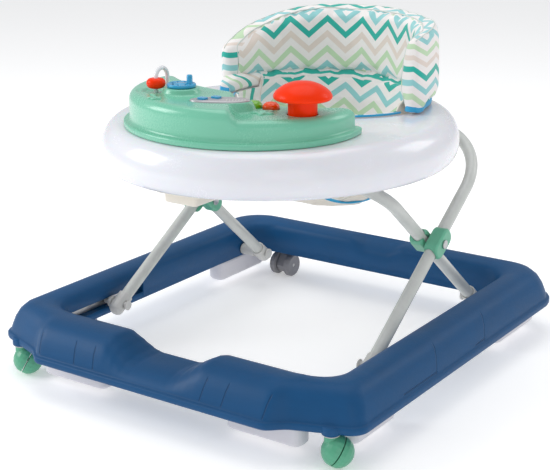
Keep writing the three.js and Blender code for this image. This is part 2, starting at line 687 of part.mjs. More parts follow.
// The toy tray is a crescent. Its rear edge is an arc about the middle of the seat hole, and leans back
// a little above the flange; its two ends are cut off slantwise.
const backRoom = (radius, lean) => turned([
  [0, 300], [radius, 300], [radius, TOY_BACK.lowZ],
  [radius + lean, TOY_BACK.highZ], [radius + lean, 500], [0, 500],
], 56).translate(0, HOLE.cy, 0);

// Where each end of the crescent is cut off, and which way each cut faces.
const TOY_ENDS = [{ x: 168.5, y: -64, turn: degrees(33) }, { x: 158, y: -59.5, turn: degrees(62) }];

const endRooms = () => SIDES.flatMap((side) => TOY_ENDS.map(({ x, y, turn }) => (
  mirrored(boxBetween([0, 60], [-60, 60], [300, 500]).rotateZ(turn).translate(x, y, 0), side)
)));

// The foot of the ramp between the high left deck and the low right deck, and how it is turned in plan.
const STEP = { x: 28, y: -178, turn: degrees(33.7) };

const MUSHROOM = { x: 128, y: -146, stem: 6, neck: 20.5, restZ: 424.8, pocketZ: 419.5 };
const DIAL = { x: -58, y: -177, stem: 4, seatRadius: 28, seatZ: 448 };
const ARCH = { x: -98, y: -172, spacing: 26, top: 471, rod: 3.1, footZ: 433 };
const PANEL = { x: 21, y: -192, rx: 42, ry: 19, turn: degrees(32), lowZ: 437.3, highZ: 441.5 };
const BUTTON = { length: 13, width: 10, lowZ: 439.6, highZ: 444 };
const LENSES = { radius: 12.2, floorZ: 423.4, green: { x: 46, y: -146 }, orange: { x: 72, y: -141 } };
const TOY_GAP = 0.4;                // air round a toy in its pocket
const ABOVE_TOYS = 450;             // any height clear of the decks

const archBore = (y) => moved(rodZ(ARCH.rod + GAP, 430, ABOVE_TOYS, 12), ARCH.x, y, 0);
const lensPocket = ({ x, y }) =>
  moved(rodZ(LENSES.radius + TOY_GAP, LENSES.floorZ - TOY_GAP, ABOVE_TOYS, 24), x, y, 0);

function toyTray() {
  const flange = plate(toyOutline(0), TRAY_TOP_Z + GAP, TOY_FLANGE_Z, 1.5, 12);
  const right = plate(toyOutline(9), TOY_FLANGE_Z - 4, TOY_RIGHT_Z, 10, 12);
  const leftFull = plate(toyOutline(9), TOY_FLANGE_Z - 4, TOY_LEFT_Z, 10, 12);
  const wedge = new THREE.Shape([[-260, 390], [34, 390], [0, 450], [-260, 450]]
    .map(([x, z]) => new THREE.Vector2(x, z)));
  const leftHalf = plate(wedge, -290, 290)
    .rotateX(Math.PI / 2).rotateZ(STEP.turn).translate(STEP.x, STEP.y, 0);
  const panelSeat = panelPlate(420, TOY_LEFT_Z, 5);
  const { seatRadius, seatZ } = DIAL;
  const dialSeatShape = [
    [0, 430], [seatRadius, 430], [seatRadius - 2, 445], [seatRadius - 4, seatZ], [0, seatZ],
  ];
  const dialSeat = moved(turned(dialSeatShape, 28), DIAL.x, DIAL.y, 0);
  const under = cut(plate(toyOutline(24), 380, 413, 8, 8), backRoom(TOY_BACK.deckRadius + 12, 0));
  const drills = [
    moved(rodZ(MUSHROOM.neck + 2 * TOY_GAP, MUSHROOM.pocketZ, ABOVE_TOYS, 28), MUSHROOM.x, MUSHROOM.y, 0),
    moved(rodZ(MUSHROOM.stem + TOY_GAP, 400, 425), MUSHROOM.x, MUSHROOM.y, 0),
    moved(rodZ(DIAL.stem + GAP, 425, 455), DIAL.x, DIAL.y, 0),
    ...[-1, 1].map((end) => archBore(ARCH.y + (end * ARCH.spacing) / 2)),
    panelPlate(PANEL.lowZ - GAP, ABOVE_TOYS, TOY_GAP),
    lensPocket(LENSES.green),
    lensPocket(LENSES.orange),
  ];
  const decksFull = join(right, keep(leftFull, leftHalf), dialSeat, panelSeat);
  const decks = cut(decksFull, backRoom(TOY_BACK.deckRadius, TOY_BACK.lean));
  const body = join(cut(flange, backRoom(TOY_BACK.radius, 0)), decks);
  return part('toy_tray', cut(body, ...endRooms(), under, ...drills), MINT);
}

function panelPlate(low, high, grow = 0) {
  const shape = ellipseShape(PANEL.rx + grow, PANEL.ry + grow, 0);
  return plate(shape, low, high, 0, 8).rotateZ(PANEL.turn).translate(PANEL.x, PANEL.y, 0);
}

const PANEL_BUTTONS = { left: { x: 0, y: -204 }, right: { x: 11, y: -187 } };

function soundPanel() {
  const room = () => buttonBlock(430, ABOVE_TOYS, TOY_GAP);
  const holes = Object.values(PANEL_BUTTONS).map(({ x, y }) => moved(room(), x, y, 0));
  return part('sound_panel', cut(panelPlate(PANEL.lowZ, PANEL.highZ), ...holes), SILVER);
}

const buttonBlock = (low, high, grow = 0) =>
  plate(roundedRect(BUTTON.length + 2 * grow, BUTTON.width + 2 * grow, 2), low, high, 0, 1);

function panelButtons() {
  const block = () => buttonBlock(BUTTON.lowZ, BUTTON.highZ);
  return Object.entries(PANEL_BUTTONS)
    .map(([name, { x, y }]) => part(`panel_button_${name}`, moved(block(), x, y, 0), CYAN));
}

function toys() {
  const { stem, neck, restZ } = MUSHROOM;
  const cap = turned([
    [0, 405], [stem, 405], [stem, restZ], [neck, restZ], [neck, 445.5],
    [38, 446.3], [41, 450.5], [37, 457.5], [24, 466.3], [0, 471],
  ], 22);
  const dial = join(
    turned([
      [0, 436], [DIAL.stem, 436], [DIAL.stem, 448.4], [20, 448.4],
      [21, 450], [21, 452.5], [20, 453.5], [0, 453.5],
    ], 28),
    moved(rodZ(4.2, 450, 465, 14), 7, 10, 0),
  );
  const bead = turned([
    [3.8, 443], [9, 443.4], [13.4, 447], [14, 450.5], [13.4, 454], [9, 457.6], [3.8, 458], [3.8, 443],
  ], 20);
  return [
    part('mushroom_button', moved(cap, MUSHROOM.x, MUSHROOM.y, 0), ORANGE),
    part('dial', moved(dial, DIAL.x, DIAL.y, 0), CYAN),
    part('toy_arch', toyArch(), WHITE),
    part('bead', moved(bead, ARCH.x, ARCH.y - ARCH.spacing / 2, 0), ORANGE),
    part('lens_green', lensDisc(LENSES.green), LENS_GREEN),
    part('lens_orange', lensDisc(LENSES.orange), ORANGE),
  ];
}

function lensDisc({ x, y }) {
  const { radius, floorZ } = LENSES;
  const profile = [[0, floorZ], [radius, floorZ], [radius, 429.5], [9, 433.5], [0, 435.5]];
  return moved(turned(profile, 24), x, y, 0);
}

// A round rod bent to a narrow upside-down U, with its feet in the tray.
function toyArch() {
  const { spacing, top } = ARCH;
  const radius = spacing / 2;
  const path = new THREE.CurvePath();
  const at = (y, z) => new THREE.Vector3(ARCH.x, ARCH.y + y, z);
  const k = radius * 0.5523;        // the handle of a cubic that follows a quarter circle
  const spring = top - radius;
  path.add(new THREE.LineCurve3(at(-radius, ARCH.footZ), at(-radius, spring)));
  const quarter = (...points) => path.add(new THREE.CubicBezierCurve3(...points));
  quarter(at(-radius, spring), at(-radius, spring + k), at(-k, top), at(0, top));
  quarter(at(0, top), at(k, top), at(radius, spring + k), at(radius, spring));
  path.add(new THREE.LineCurve3(at(radius, spring), at(radius, ARCH.footZ)));
  const section = new THREE.Shape();
  section.absarc(0, 0, ARCH.rod, 0, 2 * Math.PI);
  return new THREE.ExtrudeGeometry(section, { extrudePath: path, steps: 16, curveSegments: 4 });
}

function soundModule() {
  const board = boxBetween([-52, 30], [-214, -152], [388.8, 392]);
  const speaker = turned([[0, 391], [20, 391], [20, 398], [13, 403], [0, 403]], 20).translate(-24, -182, 0);
  return part('sound_module', join(board, speaker), BLACK);
}

// ---------------------------------------------------------------- seat

const seatArc = (count, reach) =>
  Array.from({ length: count + 1 }, (_, i) => degrees(-reach + (2 * reach * i) / count));

// A wrap-around pad: a rounded section swept round the seat from one front end to the other.
function wrapPad(reach, count, inner, outer, bottomAt, topAt) {
  const sectionSteps = 10;
  const rings = seatArc(count, reach).map((angle) => {
    const [low, high] = [bottomAt(angle), topAt(angle)];
    const edge = Math.min(1, 0.5 + (degrees(reach) - Math.abs(angle)) / degrees(9));
    const [middle, thick] = [(inner + outer) / 2, ((outer - inner) / 2) * edge];
    return Array.from({ length: sectionSteps }, (_, j) => {
      const turn = (2 * Math.PI * (j + 0.5)) / sectionSteps;
      const [c, s] = [Math.cos(turn), Math.sin(turn)];
      const across = middle + thick * Math.sign(c) * Math.abs(c) ** 0.45;
      const up = (low + high) / 2 + ((high - low) / 2) * Math.sign(s) * Math.abs(s) ** 0.45;
      return new THREE.Vector3(across * Math.sin(angle), SEAT_CY + across * Math.cos(angle), up);
    });
  });
  return loft(rings, false);
}

// Height of the back pad's top against its angle from the rear: a lower left wing and a taller right one.
const PAD_LEFT_WING = [
  [0, PAD_TOP_Z], [30, 524], [45, 519], [55, 513], [67, 503], [80, 490], [90, 474], [97, 464],
];
const PAD_RIGHT_WING = [[0, PAD_TOP_Z], [60, 521], [80, 516], [90, 511], [97, 504]];

function between(table, value) {
  const next = Math.max(1, table.findIndex(([at]) => at >= value));
  const [[a, low], [b, high]] = [table[next - 1], table[next]];
  return low + ((high - low) * (value - a)) / (b - a);
}

const padTop = (angle) => {
  const turn = Math.min(PAD_REACH, (Math.abs(angle) / Math.PI) * 180);
  return between(angle < 0 ? PAD_LEFT_WING : PAD_RIGHT_WING, turn);
};

function seatPads() {
  const back = wrapPad(PAD_REACH, 22, PAD_INNER, PAD_OUTER, () => CREASE_Z + GAP, padTop);
  const [bandLow, bandHigh] = [TRAY_TOP_Z + 2 * GAP, CREASE_Z - GAP];
  const band = wrapPad(BAND_REACH, 24, PAD_INNER - 4, PAD_OUTER - 5, () => bandLow, () => bandHigh);
  return [part('seat_back_pad', back, FABRIC_PRINT), part('seat_band', band, FABRIC_PRINT)];
}

// The hanging seat: a fabric bucket with two leg openings in front and a strap between them.
const SLING_LEVELS = [
  [150, 121, 116, SLING_TOP_Z], [149, 120, 116, 372], [145, 116, 116, 335],
  [132, 105, 116, 290], [108, 86, 114, 252], [78, 60, 112, 231], [40, 30, 112, SLING_LOW_Z],
];

function bucket(inset, lift) {
  const rings = SLING_LEVELS.map(([x, y, cy, z], level) => {
    const top = level === 0 && lift > 0;
    return Array.from({ length: 20 }, (_, i) => {
      const angle = (2 * Math.PI * i) / 20;
      const [across, along] = [(x - inset) * Math.cos(angle), (y - inset) * Math.sin(angle)];
      return new THREE.Vector3(across, cy + along, z + (top ? 8 : lift));
    });
  });
  return loft(rings, false);
}

function legOpening(side) {
  const [inner, outer, low, high] = [38, 118, 238, 374];
  const radius = (outer - inner) / 2;
  const middle = (side * (inner + outer)) / 2;
  const round = Array.from({ length: 13 }, (_, i) => Math.PI * (1 + i / 12))
    .map((turn) => new THREE.Vector2(middle + radius * Math.cos(turn), low + radius * (1 + Math.sin(turn))));
  const top = [new THREE.Vector2(middle + radius, high), new THREE.Vector2(middle - radius, high)];
  return plate(new THREE.Shape([...round, ...top]), -66, 62).rotateX(Math.PI / 2);
}

// The sling is sewn from an upper wall and the bucket that hangs from its seam.
function seatSling() {
  const shell = cut(bucket(0, 0), bucket(FABRIC, FABRIC));
  const cloth = cut(shell, ...SIDES.map(legOpening));
  const course = (low, high) => keep(cloth, boxBetween([-160, 160], [-20, 250], [low, high]));
  return [
    part('seat_sling_wall', course(SLING_SEAM_Z, SLING_TOP_Z + 1), FABRIC_PLAIN),
    part('seat_sling', course(SLING_LOW_Z - 1, SLING_SEAM_Z - GAP), FABRIC_PLAIN),
  ];
}

// ---------------------------------------------------------------- the whole walker

const walker = new THREE.Group();
walker.add(
  baseFrame(),
  ...slideStrips(),
  ...brakePads(),
  ...SIDES.flatMap(frontCaster),
  ...SIDES.flatMap(rearCaster),
  ...hoops(),
  ...feet(),
  ...hubs(),
  tray(),
  heightLock(),
  lockLever(),
  heightGuide(),
  ...rearBrackets(),
  toyTray(),
  soundPanel(),
  ...panelButtons(),
  ...toys(),
  soundModule(),
  ...seatPads(),
  ...seatSling(),
);

export default walker;
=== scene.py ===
from math import atan2, copysign, cos, degrees, dist, exp, floor, hypot, pi, radians, sin, sqrt

import bmesh
import bpy
import numpy as np
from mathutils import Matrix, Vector
from mathutils.bvhtree import BVHTree


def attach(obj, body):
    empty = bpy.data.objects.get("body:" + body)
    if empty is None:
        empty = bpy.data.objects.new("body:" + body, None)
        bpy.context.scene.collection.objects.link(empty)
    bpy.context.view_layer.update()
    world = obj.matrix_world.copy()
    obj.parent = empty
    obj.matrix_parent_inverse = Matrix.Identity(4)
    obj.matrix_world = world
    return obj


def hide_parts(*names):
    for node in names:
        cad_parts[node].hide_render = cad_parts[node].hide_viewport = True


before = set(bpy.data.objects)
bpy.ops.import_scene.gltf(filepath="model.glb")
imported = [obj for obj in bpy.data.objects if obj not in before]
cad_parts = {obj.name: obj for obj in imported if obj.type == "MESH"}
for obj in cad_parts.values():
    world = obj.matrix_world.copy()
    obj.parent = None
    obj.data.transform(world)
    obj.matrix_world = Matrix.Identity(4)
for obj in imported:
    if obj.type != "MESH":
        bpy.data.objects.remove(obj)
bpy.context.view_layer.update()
MM = 0.001
TAU = 2 * pi
LR = (("left", -1), ("right", 1))


# ---- colours and materials

def srgb(r, g, b):
    def linear(v):
        v /= 255
        return v / 12.92 if v <= 0.04045 else ((v + 0.055) / 1.055) ** 2.4
    return (linear(r), linear(g), linear(b), 1.0)


def shade(colour, k):
    return tuple(min(1, c * k) for c in colour[:3]) + (1.0,)


RUBBED = 1.18


class Shader:
    """A Principled material that is built node by node."""

    def __init__(self, name, **sockets):
        self.mat = bpy.data.materials.new("walker_" + name)
        self.mat.use_nodes = True
        self.tree = self.mat.node_tree
        self.bsdf = self.tree.nodes["Principled BSDF"]
        for key, value in sockets.items():
            self.bsdf.inputs[key.replace("_", " ")].default_value = value

    def node(self, kind, **inputs):
        made = self.tree.nodes.new("ShaderNode" + kind)
        for key, value in inputs.items():
            if hasattr(made, key) and key not in made.inputs:
                setattr(made, key, value)
            else:
                self.put(value, made.inputs[key.replace("_", " ")])
        return made

    def put(self, value, socket):
        if isinstance(value, bpy.types.NodeSocket):
            self.tree.links.new(value, socket)
        else:
            socket.default_value = value

    def math(self, operation, *values):
        made = self.tree.nodes.new("ShaderNodeMath")
        made.operation = operation
        for i, value in enumerate(values):
            self.put(value, made.inputs[i])
        return made.outputs[0]

    def times(self, a, b):
        return self.math("MULTIPLY", a, b)

    def plus(self, a, b):
        return self.math("ADD", a, b)

    def minus(self, a, b):
        return self.math("SUBTRACT", a, b)

    def separate(self, vector):
        return self.node("SeparateXYZ", Vector=vector).outputs

    def uv(self, layer):
        return self.node("UVMap", uv_map=layer).outputs[0]

    def place(self):
        return self.node("TexCoord").outputs["Object"]

    def noise(self, scale, detail, rough=0.5, vector=None):
        return self.node("TexNoise", Vector=vector or self.place(), Scale=scale, Detail=detail,
                         Roughness=rough).outputs["Fac"]

    def remap(self, value, a, b, low=0.0, high=1.0):
        made = self.node("MapRange")
        self.put(value, made.inputs[0])
        for i, v in enumerate((a, b, low, high)):
            made.inputs[i + 1].default_value = v
        return made.outputs[0]

    def mix(self, factor, a, b):
        made = self.tree.nodes.new("ShaderNodeMix")
        made.data_type = "RGBA"
        self.put(factor, made.inputs[0])
        self.put(a, made.inputs[6])
        self.put(b, made.inputs[7])
        return made.outputs[2]

    def bump(self, height, distance, strength=1.0, normal=None):
        made = self.node("Bump", Height=height, Distance=distance, Strength=strength)
        if normal is not None:
            self.put(normal, made.inputs["Normal"])
        return made.outputs["Normal"]

    def done(self, colour=None, rough=None, normal=None):
        for value, key in ((colour, "Base Color"), (rough, "Roughness"), (normal, "Normal")):
            if value is not None:
                self.put(value, self.bsdf.inputs[key])
        return self.mat


def worn(s, colour):
    """Lightened edges, where handling rubs the colour."""
    pointiness = s.node("NewGeometry").outputs["Pointiness"]
    edge = s.remap(pointiness, 0.53, 0.60, 0.0, 0.5)
    return edge, shade(colour, RUBBED)


def plastic(name, colour, rough, grain, grain_scale, mottle, **sockets):
    """Moulded plastic: soft mottling, faint flow streaks, fine grain and rubbed edges."""
    s = Shader(name, **sockets)
    cloud = s.noise(14.0, 4.0)
    flow = s.node("Mapping", Vector=s.place(), Scale=(3.0, 22.0, 40.0)).outputs[0]
    streak = s.noise(3.0, 2.0, vector=flow)
    tone = s.plus(s.times(cloud, 0.7), s.times(streak, 0.3))
    base = s.mix(s.remap(tone, 0.3, 0.7), shade(colour, 1 - mottle), shade(colour, 1 + mottle))
    edge, light = worn(s, colour)
    base = s.mix(edge, base, light)
    fine = s.noise(grain_scale, 2.0, 0.6)
    orange_peel = s.noise(120.0, 1.0)
    height = s.plus(fine, s.times(orange_peel, 0.8))
    roughness = s.remap(s.plus(s.times(cloud, 0.6), s.times(fine, 0.4)),
                        0.3, 0.7, max(0.02, rough - 0.06), rough + 0.06)
    return s.done(base, roughness, s.bump(height, grain, 0.6))


def painted(name, colour):
    """Powder-coated tube: fine orange peel, a little darker where dust sits."""
    s = Shader(name, Metallic=0.0, Coat_Weight=0.35, Coat_Roughness=0.25)
    peel = s.noise(420.0, 3.0)
    dust = s.noise(26.0, 5.0, 0.65)
    base = s.mix(s.remap(dust, 0.35, 0.7), shade(colour, 1.04), shade(colour, 0.90))
    return s.done(base, s.remap(peel, 0.3, 0.7, 0.30, 0.44), s.bump(peel, 0.00010, 0.5))


def steel(name):
    s = Shader(name, Metallic=1.0)
    lines = s.node("Mapping", Vector=s.place(), Scale=(8.0, 1400.0, 1400.0)).outputs[0]
    brushed = s.noise(1.0, 4.0, 0.7, vector=lines)
    base = s.mix(brushed, (0.40, 0.40, 0.41, 1), (0.66, 0.66, 0.66, 1))
    return s.done(base, s.remap(brushed, 0.3, 0.7, 0.24, 0.42), s.bump(brushed, 0.00005, 0.5))


OFF_WHITE = srgb(250, 245, 243)
PALE = srgb(150, 214, 216)
TEAL = srgb(8, 182, 166)
TAUPE = srgb(236, 222, 212)
GREEN = srgb(200, 229, 190)
CYAN = srgb(30, 168, 220)
CREAM = srgb(240, 233, 220)
THREADS = 520.0
PEAK, WAVE, PITCH = -9.0, 63.5, 25.0


def weave(s, uv, colour, crumple=0.0011):
    """Plain weave, slubs and soft creases on top of any cloth colour, with painted shade darkening the
    creases; uv is in metres.
    """
    warp, weft = (s.node("TexWave", Vector=uv, Scale=THREADS, Distortion=0.4, Detail=1.0,
                         bands_direction=way).outputs["Fac"] for way in "XY")
    threads = s.math("MAXIMUM", warp, weft)
    slub = s.noise(90.0, 5.0, 0.65)
    crease = s.noise(16.0, 4.0, 0.55)
    tone = s.plus(s.times(slub, 0.6), s.times(crease, 0.4))
    # painted shade: the cloth is darkened towards a pinkish grey where the crease noise is high, mixed with
    # the slubs' own random tone
    slub_tone_and_crease_shade = s.mix(s.remap(tone, 0.3, 0.72, 0.0, 0.10), colour, (0.42, 0.40, 0.40, 1))
    fine = s.bump(threads, 0.00014, 0.5)
    folds = s.bump(crease, crumple, 0.8, normal=fine)
    return s.done(slub_tone_and_crease_shade, s.remap(slub, 0.3, 0.7, 0.72, 0.9), folds)


def cloth_plain(name, colour, crumple=0.0011):
    s = Shader(name, Sheen_Weight=0.25, Sheen_Roughness=0.5)
    return weave(s, s.uv("cut"), colour, crumple)


def zigzag(s, layer, order, top, peak, wave, rise, pitch, ink):
    """Printed zigzags on a UV layer in metres: their colour, over the cloth's own off-white. order is
    the stripe colours from the top down; top is the height in mm of the first stripe's middle, and
    peak is the place in mm round the seat where the stripes peak."""
    across, up, _ = s.separate(s.uv(layer))
    along = s.plus(s.times(across, 1000.0 / wave), -peak / wave + 0.5 + 20)
    saw = s.math("FRACT", along)
    fall = s.times(s.math("ABSOLUTE", s.minus(saw, 0.5)), 2.0 * rise)
    height = s.plus(s.times(up, 1000.0), fall)
    down = s.math("DIVIDE", s.minus(top + rise / 2 + ink / 2, height), pitch)
    steps = s.plus(down, 40.0)
    share = s.math("FRACT", steps)
    inked = s.times(s.remap(share, 0.0, 0.035),
                   s.remap(share, ink / pitch - 0.035, ink / pitch, 1.0, 0.0))
    which = s.math("FRACT", s.times(s.math("FLOOR", steps), 0.25))
    ramp = s.node("ValToRGB")
    ramp.color_ramp.interpolation = "CONSTANT"
    while len(ramp.color_ramp.elements) < 4:
        ramp.color_ramp.elements.new(0.5)
    for i, colour in enumerate(order):
        ramp.color_ramp.elements[i].position = 0.0 if i == 0 else 0.25 * i - 0.1
        ramp.color_ramp.elements[i].color = colour
    s.put(which, ramp.inputs[0])
    return s.mix(inked, OFF_WHITE, ramp.outputs[0])


def cloth_chevron(name, main, gusset):
    """A printed cloth whose gusset panels have the print laid another way; the panel map tells them apart."""
    s = Shader(name, Sheen_Weight=0.25, Sheen_Roughness=0.5)
    first = zigzag(s, "cut", *main)
    second = zigzag(s, "gusset", *gusset)
    panel = s.separate(s.uv("panel"))[0]
    which = s.remap(panel, -0.0002, 0.0002)
    return weave(s, s.uv("cut"), s.mix(which, first, second))


MAT = {
    "blue": plastic("blue", srgb(6, 74, 122), 0.48, 0.00024, 520.0, 0.08, Specular_IOR_Level=0.28),
    "pad": plastic("pad_white", srgb(226, 224, 230), 0.55, 0.00018, 700.0, 0.03),
    "hub": plastic("hub_green", srgb(104, 182, 150), 0.36, 0.00010, 700.0, 0.06),
    "caster": plastic("caster_green", srgb(84, 166, 132), 0.34, 0.00010, 700.0, 0.08),
    "cap": plastic("cap_grey", srgb(206, 206, 203), 0.45, 0.00010, 800.0, 0.04),
    "wheel": plastic("wheel_grey", srgb(134, 133, 138), 0.5, 0.00016, 600.0, 0.08),
    "tube": painted("tube_paint", srgb(206, 209, 205)),
    "tray": plastic("tray_white", srgb(236, 236, 243), 0.24, 0.00005, 500.0, 0.02,
                    Coat_Weight=0.5, Coat_Roughness=0.12, Subsurface_Weight=0.12, Subsurface_Scale=0.02),
    "white": plastic("gloss_white", srgb(236, 237, 240), 0.22, 0.00005, 600.0, 0.02, Coat_Weight=0.5),
    "cream": plastic("cream", srgb(240, 234, 222), 0.42, 0.00012, 700.0, 0.03),
    "mint": plastic("mint", srgb(118, 198, 168), 0.26, 0.00001, 400.0, 0.015,
                    Coat_Weight=0.35, Coat_Roughness=0.18),
    "orange": plastic("orange", srgb(255, 54, 0), 0.34, 0.00002, 500.0, 0.03,
                      Specular_IOR_Level=0.10, Coat_Weight=0.10, Coat_Roughness=0.12),
    "red": plastic("red", srgb(216, 52, 40), 0.3, 0.00008, 600.0, 0.05),
    "aqua": plastic("aqua", srgb(38, 160, 208), 0.28, 0.00006, 600.0, 0.05, Coat_Weight=0.4),
    "silver": plastic("silver", srgb(186, 184, 188), 0.3, 0.00010, 900.0, 0.05, Metallic=0.35),
    "black": plastic("black", srgb(34, 34, 36), 0.5, 0.00015, 600.0, 0.1),
    "lens_green": plastic("lens_green", srgb(104, 176, 16), 0.16, 0.00003, 300.0, 0.10,
                          Specular_IOR_Level=0.4, Coat_Weight=0.7, Coat_Roughness=0.04),
    "lens_orange": plastic("lens_orange", srgb(244, 76, 8), 0.16, 0.00003, 300.0, 0.10,
                           Specular_IOR_Level=0.3, Coat_Weight=0.4, Coat_Roughness=0.04),
    "steel": steel("steel"),
    "chevron": cloth_chevron("chevron",
                             ((PALE, TEAL, TAUPE, GREEN), 509.6, PEAK, WAVE, 27.0, PITCH, 12.5),
                             ((TEAL, PALE, GREEN, TAUPE), 506.0, PEAK, WAVE, 20.0, PITCH, 12.0)),
    "chevron_low": cloth_chevron("chevron_low",
                                 ((TEAL, PALE, GREEN, TAUPE), 403.0, 26.0, WAVE, 21.5, PITCH, 12.0),
                                 ((TAUPE, TEAL, GREEN, PALE), 406.0, PEAK, WAVE, 0.0, PITCH, 10.0)),
    "beige": cloth_plain("beige_cloth", CREAM),
    "binding": cloth_plain("binding", CYAN, 0.0006),
    "piping": cloth_plain("piping", srgb(214, 222, 216), 0.0004),
}


# ---- mesh helpers

def link(name, data):
    made = bpy.data.objects.new(name, data)
    bpy.context.scene.collection.objects.link(made)
    return made


def new_object(name, points, faces, mats, smooth=True):
    """A mesh object from points in mm and lists of indices."""
    mesh = bpy.data.meshes.new(name)
    mesh.from_pydata([tuple(c * MM for c in p) for p in points], [], faces)
    for m in mats if isinstance(mats, (list, tuple)) else [mats]:
        mesh.materials.append(MAT[m])
    mesh.validate()
    bm = bmesh.new()
    bm.from_mesh(mesh)
    bmesh.ops.recalc_face_normals(bm, faces=bm.faces)
    bm.to_mesh(mesh)
    bm.free()
    mesh.polygons.foreach_set("use_smooth", [smooth] * len(mesh.polygons))
    return link(name, mesh)


def loft(name, rings, mats, endless=False):
    """Skin over closed rings of equal length; open ends get a fan to their middle."""
    size, count = len(rings[0]), len(rings)
    points = [tuple(p) for ring in rings for p in ring]
    faces = []
    for i in range(count if endless else count - 1):
        a, b = i * size, ((i + 1) % count) * size
        for j in range(size):
            k = (j + 1) % size
            faces.append((a + j, b + j, b + k, a + k))
    if not endless:
        for start, flip in ((0, True), ((count - 1) * size, False)):
            ring = np.array(points[start:start + size])
            middle = len(points)
            points.append(tuple(ring.mean(0)))
            for j in range(size):
                p, q = start + j, start + (j + 1) % size
                faces.append((p, q, middle) if flip else (q, p, middle))
    return new_object(name, points, faces, mats)


def lathe(name, profile, centre, mats, steps=72, axis=(0, 0, 1)):
    """A turned piece: [radius, height] pairs about an axis through centre; it starts and ends on the axis."""
    axis = Vector(axis).normalized()
    side = axis.orthogonal().normalized()
    other = axis.cross(side)
    rings = []
    for r, z in profile:
        middle = Vector(centre) + axis * z
        turns = [TAU * i / steps for i in range(steps)]
        rings.append([tuple(middle + side * (r * cos(a)) + other * (r * sin(a))) for a in turns])
    return loft(name, rings, mats)


def rod(name, radius, low, high, centre, steps, axis=(0, 0, 1)):
    """A plain round cutter."""
    profile = [(0, low), (radius, low), (radius, high), (0, high)]
    return lathe(name, profile, centre, "mint", steps, axis)


def polar(centre, radius, angle):
    return centre[0] + radius * cos(angle), centre[1] + radius * sin(angle)


def smooth_shading(obj):
    obj.data.polygons.foreach_set("use_smooth", [True] * len(obj.data.polygons))


def tube(name, path, radius, mats, sides=16, endless=False, flat=1.0, up=(0, 0, 1)):
    """A round or flattened tube along points in mm."""
    path = [Vector(p) for p in path]
    up = Vector(up)
    rings = []
    for i, p in enumerate(path):
        a = path[(i - 1) % len(path)] if endless or i else p
        b = path[(i + 1) % len(path)] if endless or i < len(path) - 1 else p
        t = (b - a).normalized()
        n = up - t * up.dot(t)
        n = n.normalized() if n.length > 0.05 else t.orthogonal().normalized()
        m = t.cross(n)
        turns = [TAU * j / sides for j in range(sides)]
        rings.append([tuple(p + n * (radius * cos(a)) + m * (radius * flat * sin(a))) for a in turns])
    return loft(name, rings, mats, endless)


def apply_all(obj):
    """Bakes an object's modifiers into its mesh."""
    depsgraph = bpy.context.evaluated_depsgraph_get()
    mesh = bpy.data.meshes.new_from_object(obj.evaluated_get(depsgraph))
    old = obj.data
    obj.modifiers.clear()
    obj.data = mesh
    mesh.name = old.name
    bpy.data.meshes.remove(old)
    return obj


def remesh(obj, voxel):
    m = obj.modifiers.new("remesh", "REMESH")
    m.mode = "VOXEL"
    m.voxel_size = voxel * MM
    m.use_smooth_shade = True


def relax(obj, rounds):
    m = obj.modifiers.new("relax", "SMOOTH")
    m.factor = 0.5
    m.iterations = rounds


def soften(obj, voxel, rounds):
    """Remeshes a solid finely and relaxes it, which rounds its edges as a mould does."""
    remesh(obj, voxel)
    relax(obj, rounds)
    return apply_all(obj)


def cut_with(obj, cutters, operation="DIFFERENCE"):
    for c in cutters:
        b = obj.modifiers.new("cut", "BOOLEAN")
        b.operation = operation
        b.solver = "EXACT"
        b.object = c
        apply_all(obj)
        bpy.data.objects.remove(c)
    return obj


def block(x, y, z):
    points = [(px, py, pz) for px in x for py in y for pz in z]
    faces = [(0, 1, 3, 2), (4, 6, 7, 5), (0, 4, 5, 1), (2, 3, 7, 6), (0, 2, 6, 4), (1, 5, 7, 3)]
    return new_object("cutter", points, faces, "cap", smooth=False)


def onto(obj, body, *nodes, slot=None):
    """The piece stands for CAD nodes and rides on their body."""
    if nodes:
        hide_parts(*nodes)
    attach(obj, body)
    return obj


SLOTS = {"cap": "light_grey_plastic", "hub": "caster_green", "steel": "bright_steel", "red": "red_plastic",
         "caster": "caster_green", "wheel": "caster_grey", "pad": "pad_white", "cream": "cream_plastic",
         "black": "black_plastic", "aqua": "blue_plastic"}


def moulded(node, mat, body, voxel, rounds):
    """A finely moulded copy of a CAD piece, with the edges of a real moulding."""
    made = link(node + "_moulded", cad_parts[node].data.copy())
    made.data.materials.clear()
    made.data.materials.append(MAT[mat])
    weld = made.modifiers.new("weld", "WELD")
    weld.merge_threshold = 0.00002
    apply_all(made)
    soften(made, voxel, rounds)
    return onto(made, body, node, slot=SLOTS[mat])


def ellipse(centre, rx, ry, z, steps=160):
    return [(centre[0] + rx * cos(TAU * i / steps), centre[1] + ry * sin(TAU * i / steps), z)
            for i in range(steps)]


def smoothstep(v):
    v = min(1, max(0, v))
    return v * v * (3 - 2 * v)


# ---- base ring

FRONT, REAR, HALF = -353.0, 353.0, 320.0
INNER_FRONT, INNER_REAR, INNER_HALF = -262.0, 287.0, 252.0
DIP_HALF, DIP, SCOOP_HALF, SCOOP = 92.0, 27.0, 68.0, 17.0
FRONT_STEM, REAR_STEM, REAR_PIVOT = (278, -304), (208, 322), (0, 240, 62)
BOSS = [(5, 60), (12.4, 60), (13, 59), (13, 48.4), (12, 47.4), (5, 47.4), (5, 60)]
RAIL = [
    (0, 50), (0, 90), (0.02, 97), (0.07, 101.8), (0.2, 105.4), (0.36, 106.9), (0.5, 106.7), (0.64, 103.3),
    (0.76, 95), (0.85, 83), (0.91, 70), (0.935, 63.6), (0.942, 61.2), (0.955, 60.6), (0.985, 60.0),
    (1.0, 58.2), (1.0, 52.4), (0.985, 50),
]


def curve_line(a, b):
    return lambda t: (a[0] + (b[0] - a[0]) * t, a[1] + (b[1] - a[1]) * t)


def curve_arc(c, r, a, b):
    return lambda t: (c[0] + r * cos(radians(a + (b - a) * t)),
                      c[1] + r * sin(radians(a + (b - a) * t)))


